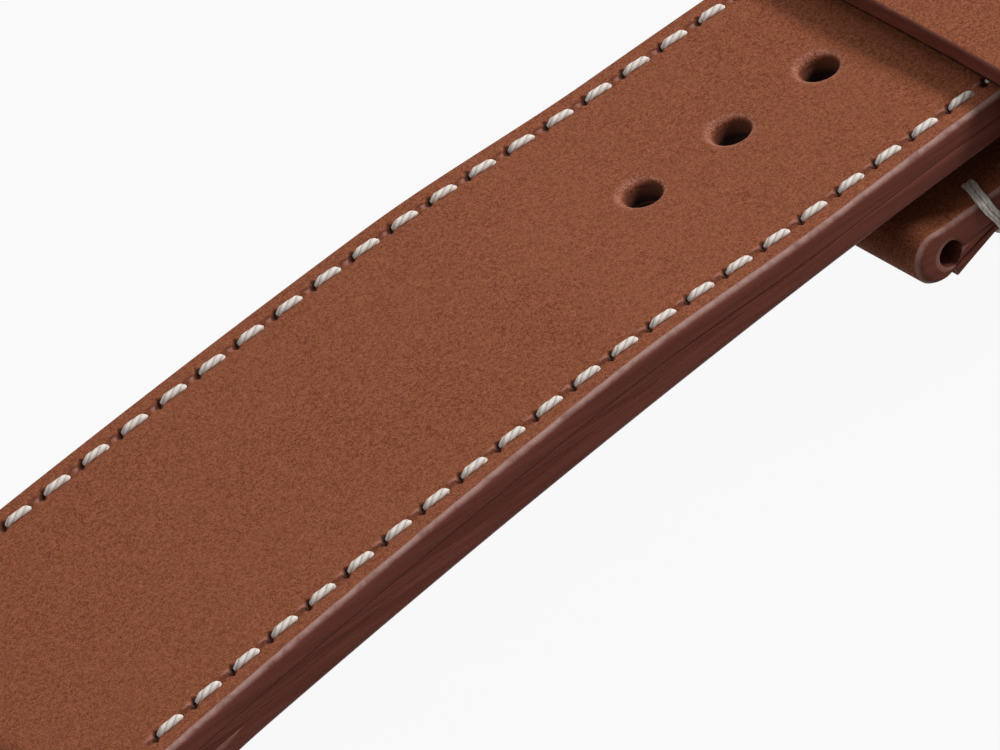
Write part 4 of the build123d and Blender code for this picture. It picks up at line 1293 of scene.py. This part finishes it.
def floor_material(colours, name):
    """A pale floor. The camera sees mostly its plain colour, and the rest of it takes shadow."""
    tree, shader = new_material(name, Roughness=0.9)
    plain_share = 0.96
    shader.inputs["Base Color"].default_value = solid(colours.shade)
    glow = put(tree, "ShaderNodeEmission", {"Color": solid(colours.floor), "Strength": 1.0})
    mix = put(tree, "ShaderNodeMixShader", {0: background_rays(tree) * plain_share,
                                            1: Value(shader.outputs[0]), 2: Value(glow.outputs[0])})
    join(Value(mix.outputs[0]), tree.nodes["Material Output"].inputs["Surface"])
    return bpy.data.materials[name]


def build_materials(size, colours):
    """All node groups and materials of the strap."""
    grain_group()
    edge_group()
    seam_group(size)
    twist_group()
    tan = (colours.tan, colours.tan_dark, colours.tan_light)
    lining = (colours.lining, colours.lining_dark, colours.lining)
    # The folds' inner edges round the bores get a faint painted highlight
    never, rim = 1000.0, (colours.edge_highlight, 0.25)
    count = float(long_seam(size)["count"])
    there_and_back, one_way = (count, count / 2), (float(short_seam(size)["count"]), never)
    # Each row: name, seam, strength of the painted highlight on the bevel, colour and strength
    # painted on the inner edges, and tones
    for name, seam, bevel_highlight, lap, tones in (
            ("Tan leather, long", there_and_back, 0.85, rim, tan),
            ("Tan leather, short", one_way, 0.6, rim, tan),
            # The keepers' inner rims take the pit colour at full strength, as painted shadow under
            # the keepers
            ("Tan leather, keepers", None, 0.1, (colours.pit, 1.0), tan),
            ("Lining, long", there_and_back, 0.15, rim, lining),
            ("Lining, short", one_way, 0.4, rim, lining)):
        leather_material(colours, name, seam, bevel_highlight, lap, tones)
    cut_material(colours, "Cut leather", colours.raw, True, 0.6, 0.3, 0.1)
    cut_material(colours, "Padding edge", colours.edge, False, 0.15, 0.525, 0.25)
    thread_material(colours, "Waxed thread")
    tape_material(colours, "Stay tape")


# Operators

def kit(context):
    """Sizes of the strap, and its materials, which are made on the first call."""
    size = context.scene.strap_sizes
    if "Leather grain" not in bpy.data.node_groups:
        build_materials(size, context.scene.strap_colours)
    return size


def stuff(*names):
    """Materials by name."""
    return [bpy.data.materials[name] for name in names]


def settle(thing, body, slot, *nodes):
    """The piece moves with its body and stands for its CAD nodes."""
    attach(thing, body)
    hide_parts(*nodes)


class STRAP_OT_long_piece(bpy.types.Operator):
    """Build the long piece's upper leather and lining"""

    bl_idname = "strap.long_piece"
    bl_label = "Long piece"

    def execute(self, context):
        size = kit(context)
        seam = long_seam(size)
        layer = long_upper_layer(size)
        ends = (layer["run"][0], size.long_length)
        upper = leather(size, "tail_leather", layer, seam, ends,
                        stuff("Tan leather, long", "Cut leather"), face=(0, math.inf), holes=True)
        settle(upper, "long_piece", "upper_leather", "long_upper")
        layer = long_lining_layer(size)
        ends = (layer["run"][0], size.long_length)
        lining = leather(size, "tail_lining", layer, seam, ends,
                         stuff("Lining, long", "Cut leather"), holes=True, rows=11, per_pitch=12)
        settle(lining, "long_piece", "lining_leather", "long_lining")
        return {"FINISHED"}


class STRAP_OT_short_piece(bpy.types.Operator):
    """Build the short piece's upper leather and lining"""

    bl_idname = "strap.short_piece"
    bl_label = "Short piece"

    def execute(self, context):
        size = kit(context)
        seam = short_seam(size)
        layer = short_upper_layer(size)
        face = (size.buckle_place, size.buckle_place + size.short_length)
        upper = leather(size, "buckle_leather", layer, seam, layer["run"][[0, -1]],
                        stuff("Tan leather, short", "Cut leather"), face=face, slot=True, rows=14)
        settle(upper, "short_piece", "upper_leather", "short_upper")
        layer = short_lining_layer(size)
        lining = leather(size, "buckle_lining", layer, seam, layer["run"][[0, -1]],
                         stuff("Lining, short", "Cut leather"), slot=True, rows=11, per_pitch=12)
        settle(lining, "short_piece", "lining_leather", "short_lining")
        return {"FINISHED"}


def keeper_floors(size):
    """Heights of the fixed keeper's inner floor and the free one's."""
    return (-size.buckle_drop - size.upper - size.short_lining - size.fixed_under,
            -size.tail_gap - size.upper - size.short_lining - size.free_under)


class STRAP_OT_keepers(bpy.types.Operator):
    """Build the fixed keeper and the free keeper"""

    bl_idname = "strap.keepers"
    bl_label = "Keepers"

    def execute(self, context):
        size = kit(context)
        fixed_floor, free_floor = keeper_floors(size)
        leathers = stuff("Tan leather, keepers")
        fixed = keeper(size, "sewn_keeper", size.buckle_place + size.fixed_place, size.fixed_width,
                       size.fixed_room, fixed_floor, 0, leathers)
        settle(fixed, "short_piece", "upper_leather", "fixed_keeper")
        free = keeper(size, "sliding_keeper", size.buckle_place + size.free_place, size.free_width,
                      size.free_room, free_floor, size.band_butt, leathers)
        settle(free, "free_keeper", "upper_leather", "free_keeper")
        return {"FINISHED"}


class STRAP_OT_seams(bpy.types.Operator):
    """Sew the seams of both pieces"""

    bl_idname = "strap.seams"
    bl_label = "Seams"

    def execute(self, context):
        size = kit(context)
        thread, into = stuff("Waxed thread"), 0.001
        seam, stop = long_seam(size), size.long_length
        top = plain_layer(lambda d: long_top(size, d), -into, 0, stop, False)
        under = plain_layer(lambda d: d * 0, into, 0, stop, False)
        for name, layer, node in (("tail_stitches", top, "long_top_thread"),
                                  ("tail_bobbin", under, "long_bobbin_thread")):
            piece = seam_thread(size, name, layer, seam, False, thread)
            settle(piece, "long_piece", "thread", node)
        seam = short_seam(size)
        start, stop = size.buckle_place, size.buckle_place + size.short_length
        top = plain_layer(lambda d: short_top(size, d), -into, start, stop, True)
        under = plain_layer(lambda d: short_under(size, d) - size.short_lining, into, start, stop,
                            True)
        for side, far in (("near", False), ("far", True)):
            for name, layer in (("top", top), ("bobbin", under)):
                piece = seam_thread(size, f"buckle_{side}_{name}", layer, seam, far, thread)
                settle(piece, "short_piece", "thread", f"short_{side}_{name}_thread")
        return {"FINISHED"}


class STRAP_OT_tacks(bpy.types.Operator):
    """Sew the whip stitches at the buckle and the tacks of both keepers"""

    bl_idname = "strap.tacks"
    bl_label = "Tacks"

    def execute(self, context):
        size = kit(context)
        thread = stuff("Waxed thread")
        for side, sign in (("near", -1), ("far", 1)):
            piece = whip(size, f"whip_{side}", sign, thread)
            settle(piece, "short_piece", "thread", f"buckle_tack_{side}")
        fixed_floor, free_floor = keeper_floors(size)
        place = size.buckle_place + size.fixed_place + size.fixed_width / 2
        piece = tacks(size, "keeper_tacks", fixed_floor - size.band, place,
                      (-size.tack_reach, size.tack_reach), thread)
        settle(piece, "short_piece", "thread", "keeper_tack_thread")
        place = size.buckle_place + size.free_place + size.free_width / 2
        piece = tacks(size, "butt_tacks", free_floor - size.band, place, (0,), thread)
        settle(piece, "free_keeper", "thread", "free_keeper_thread")
        return {"FINISHED"}


class STRAP_OT_hidden_layers(bpy.types.Operator):
    """Give the padding and the stay tapes their materials"""

    bl_idname = "strap.hidden_layers"
    bl_label = "Hidden layers"

    def execute(self, context):
        kit(context)
        for node, name in (("long_core", "Padding edge"), ("short_core", "Padding edge"),
                           ("long_stay", "Stay tape"), ("short_stay", "Stay tape")):
            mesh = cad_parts[node].data
            mesh.materials.clear()
            mesh.materials.append(bpy.data.materials[name])
        return {"FINISHED"}


# Lamps by name, with place, width and power
LAMPS = (("key", (0.65, -0.31, 0.67), 0.25, 9.0), ("side", (-0.75, -0.1, 0.6), 0.5, 1.6),
         ("back", (0.15, 0.7, 0.7), 0.8, 2.4))


def light_scene(scene, colours, strength):
    """Square lamps turned to the origin, and a world that lights evenly and shows pale."""
    for name, spot, width, power in LAMPS:
        lamp = bpy.data.lights.new(name, "AREA")
        lamp.energy, lamp.size = power, width
        thing = bpy.data.objects.new(name, lamp)
        thing.location = spot
        thing.rotation_euler = (-Vector(spot)).to_track_quat("-Z", "Y").to_euler()
        scene.collection.objects.link(thing)
    scene.world = scene.world or bpy.data.worlds.new("World")
    scene.world.use_nodes = True
    tree = scene.world.node_tree
    tree.nodes.clear()
    soft = put(tree, "ShaderNodeBackground", {"Color": solid((1, 1, 1)), "Strength": strength})
    plain = put(tree, "ShaderNodeBackground", {"Color": solid(colours.floor), "Strength": 1.0})
    mix = put(tree, "ShaderNodeMixShader",
              {0: background_rays(tree), 1: Value(soft.outputs[0]), 2: Value(plain.outputs[0])})
    join(Value(mix.outputs[0]), put(tree, "ShaderNodeOutputWorld").inputs["Surface"])


def place_camera(scene, place):
    """A camera that looks at the aim from its distance, turned by heading, tilt and roll."""
    sensor, nearest = 36, 0.01
    ahead = Vector((math.sin(place.heading) * math.cos(place.tilt),
                    math.cos(place.heading) * math.cos(place.tilt), -math.sin(place.tilt)))
    right = Vector((math.cos(place.heading), -math.sin(place.heading), 0))
    up = right.cross(ahead)
    c, s = math.cos(place.roll), math.sin(place.roll)
    right, up = right * c + up * s, up * c - right * s
    lens = bpy.data.cameras.new("camera")
    lens.lens, lens.sensor_width, lens.clip_start = place.lens, sensor, nearest
    camera = bpy.data.objects.new("camera", lens)
    matrix = Matrix((right, up, -ahead)).transposed().to_4x4()
    matrix.translation = Vector(place.aim) - ahead * place.distance
    camera.matrix_world = matrix
    scene.collection.objects.link(camera)
    scene.camera = camera


class STRAP_OT_stage(bpy.types.Operator):
    """Set the floor, the lamps and the camera"""

    bl_idname = "strap.stage"
    bl_label = "Stage"

    def execute(self, context):
        scene = context.scene
        place, colours = scene.strap_stage, scene.strap_colours
        half, low = place.floor_half, -place.floor_drop
        corners = [(x * half, y * half, low) for x, y in ((-1, -1), (1, -1), (1, 1), (-1, 1))]
        mesh = bpy.data.meshes.new("floor")
        mesh.from_pydata(corners, [], [(0, 1, 2, 3)])
        mesh.materials.append(floor_material(colours, "Pale floor"))
        floor = bpy.data.objects.new("floor", mesh)
        scene.collection.objects.link(floor)
        light_scene(scene, colours, place.sky)
        place_camera(scene, place)
        scene.view_settings.view_transform = "Standard"
        return {"FINISHED"}


OPERATORS = (STRAP_OT_long_piece, STRAP_OT_short_piece, STRAP_OT_keepers, STRAP_OT_seams,
             STRAP_OT_tacks, STRAP_OT_hidden_layers, STRAP_OT_stage)
GROUPS = {"strap_colours": StrapColours, "strap_stage": StrapStage, "strap_sizes": StrapSizes}


class STRAP_PT_panel(bpy.types.Panel):
    """Lists the strap's pieces and its stage"""

    bl_idname = "STRAP_PT_panel"
    bl_label = "Leather watch strap"
    bl_space_type = "VIEW_3D"
    bl_region_type = "UI"
    bl_category = "Strap"

    def draw(self, context):
        for operator in OPERATORS:
            self.layout.operator(operator.bl_idname)
        for group_name in GROUPS:
            box = self.layout.box()
            settings = getattr(context.scene, group_name)
            for name in settings.__annotations__:
                box.prop(settings, name)


def register():
    """Adds the classes, and the settings to the scene."""
    for found in (*GROUPS.values(), *OPERATORS, STRAP_PT_panel):
        bpy.utils.register_class(found)
    for name, found in GROUPS.items():
        setattr(bpy.types.Scene, name, PointerProperty(type=found))


def unregister():
    """Takes the settings and the classes away again."""
    for name in GROUPS:
        delattr(bpy.types.Scene, name)
    for found in reversed((*GROUPS.values(), *OPERATORS, STRAP_PT_panel)):
        bpy.utils.unregister_class(found)


def main():
    """Builds the stage and all pieces."""
    register()
    for build in (bpy.ops.strap.stage, bpy.ops.strap.long_piece, bpy.ops.strap.short_piece,
                  bpy.ops.strap.keepers, bpy.ops.strap.seams, bpy.ops.strap.tacks,
                  bpy.ops.strap.hidden_layers):
        build()
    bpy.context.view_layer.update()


if __name__ == "__main__":
    main()
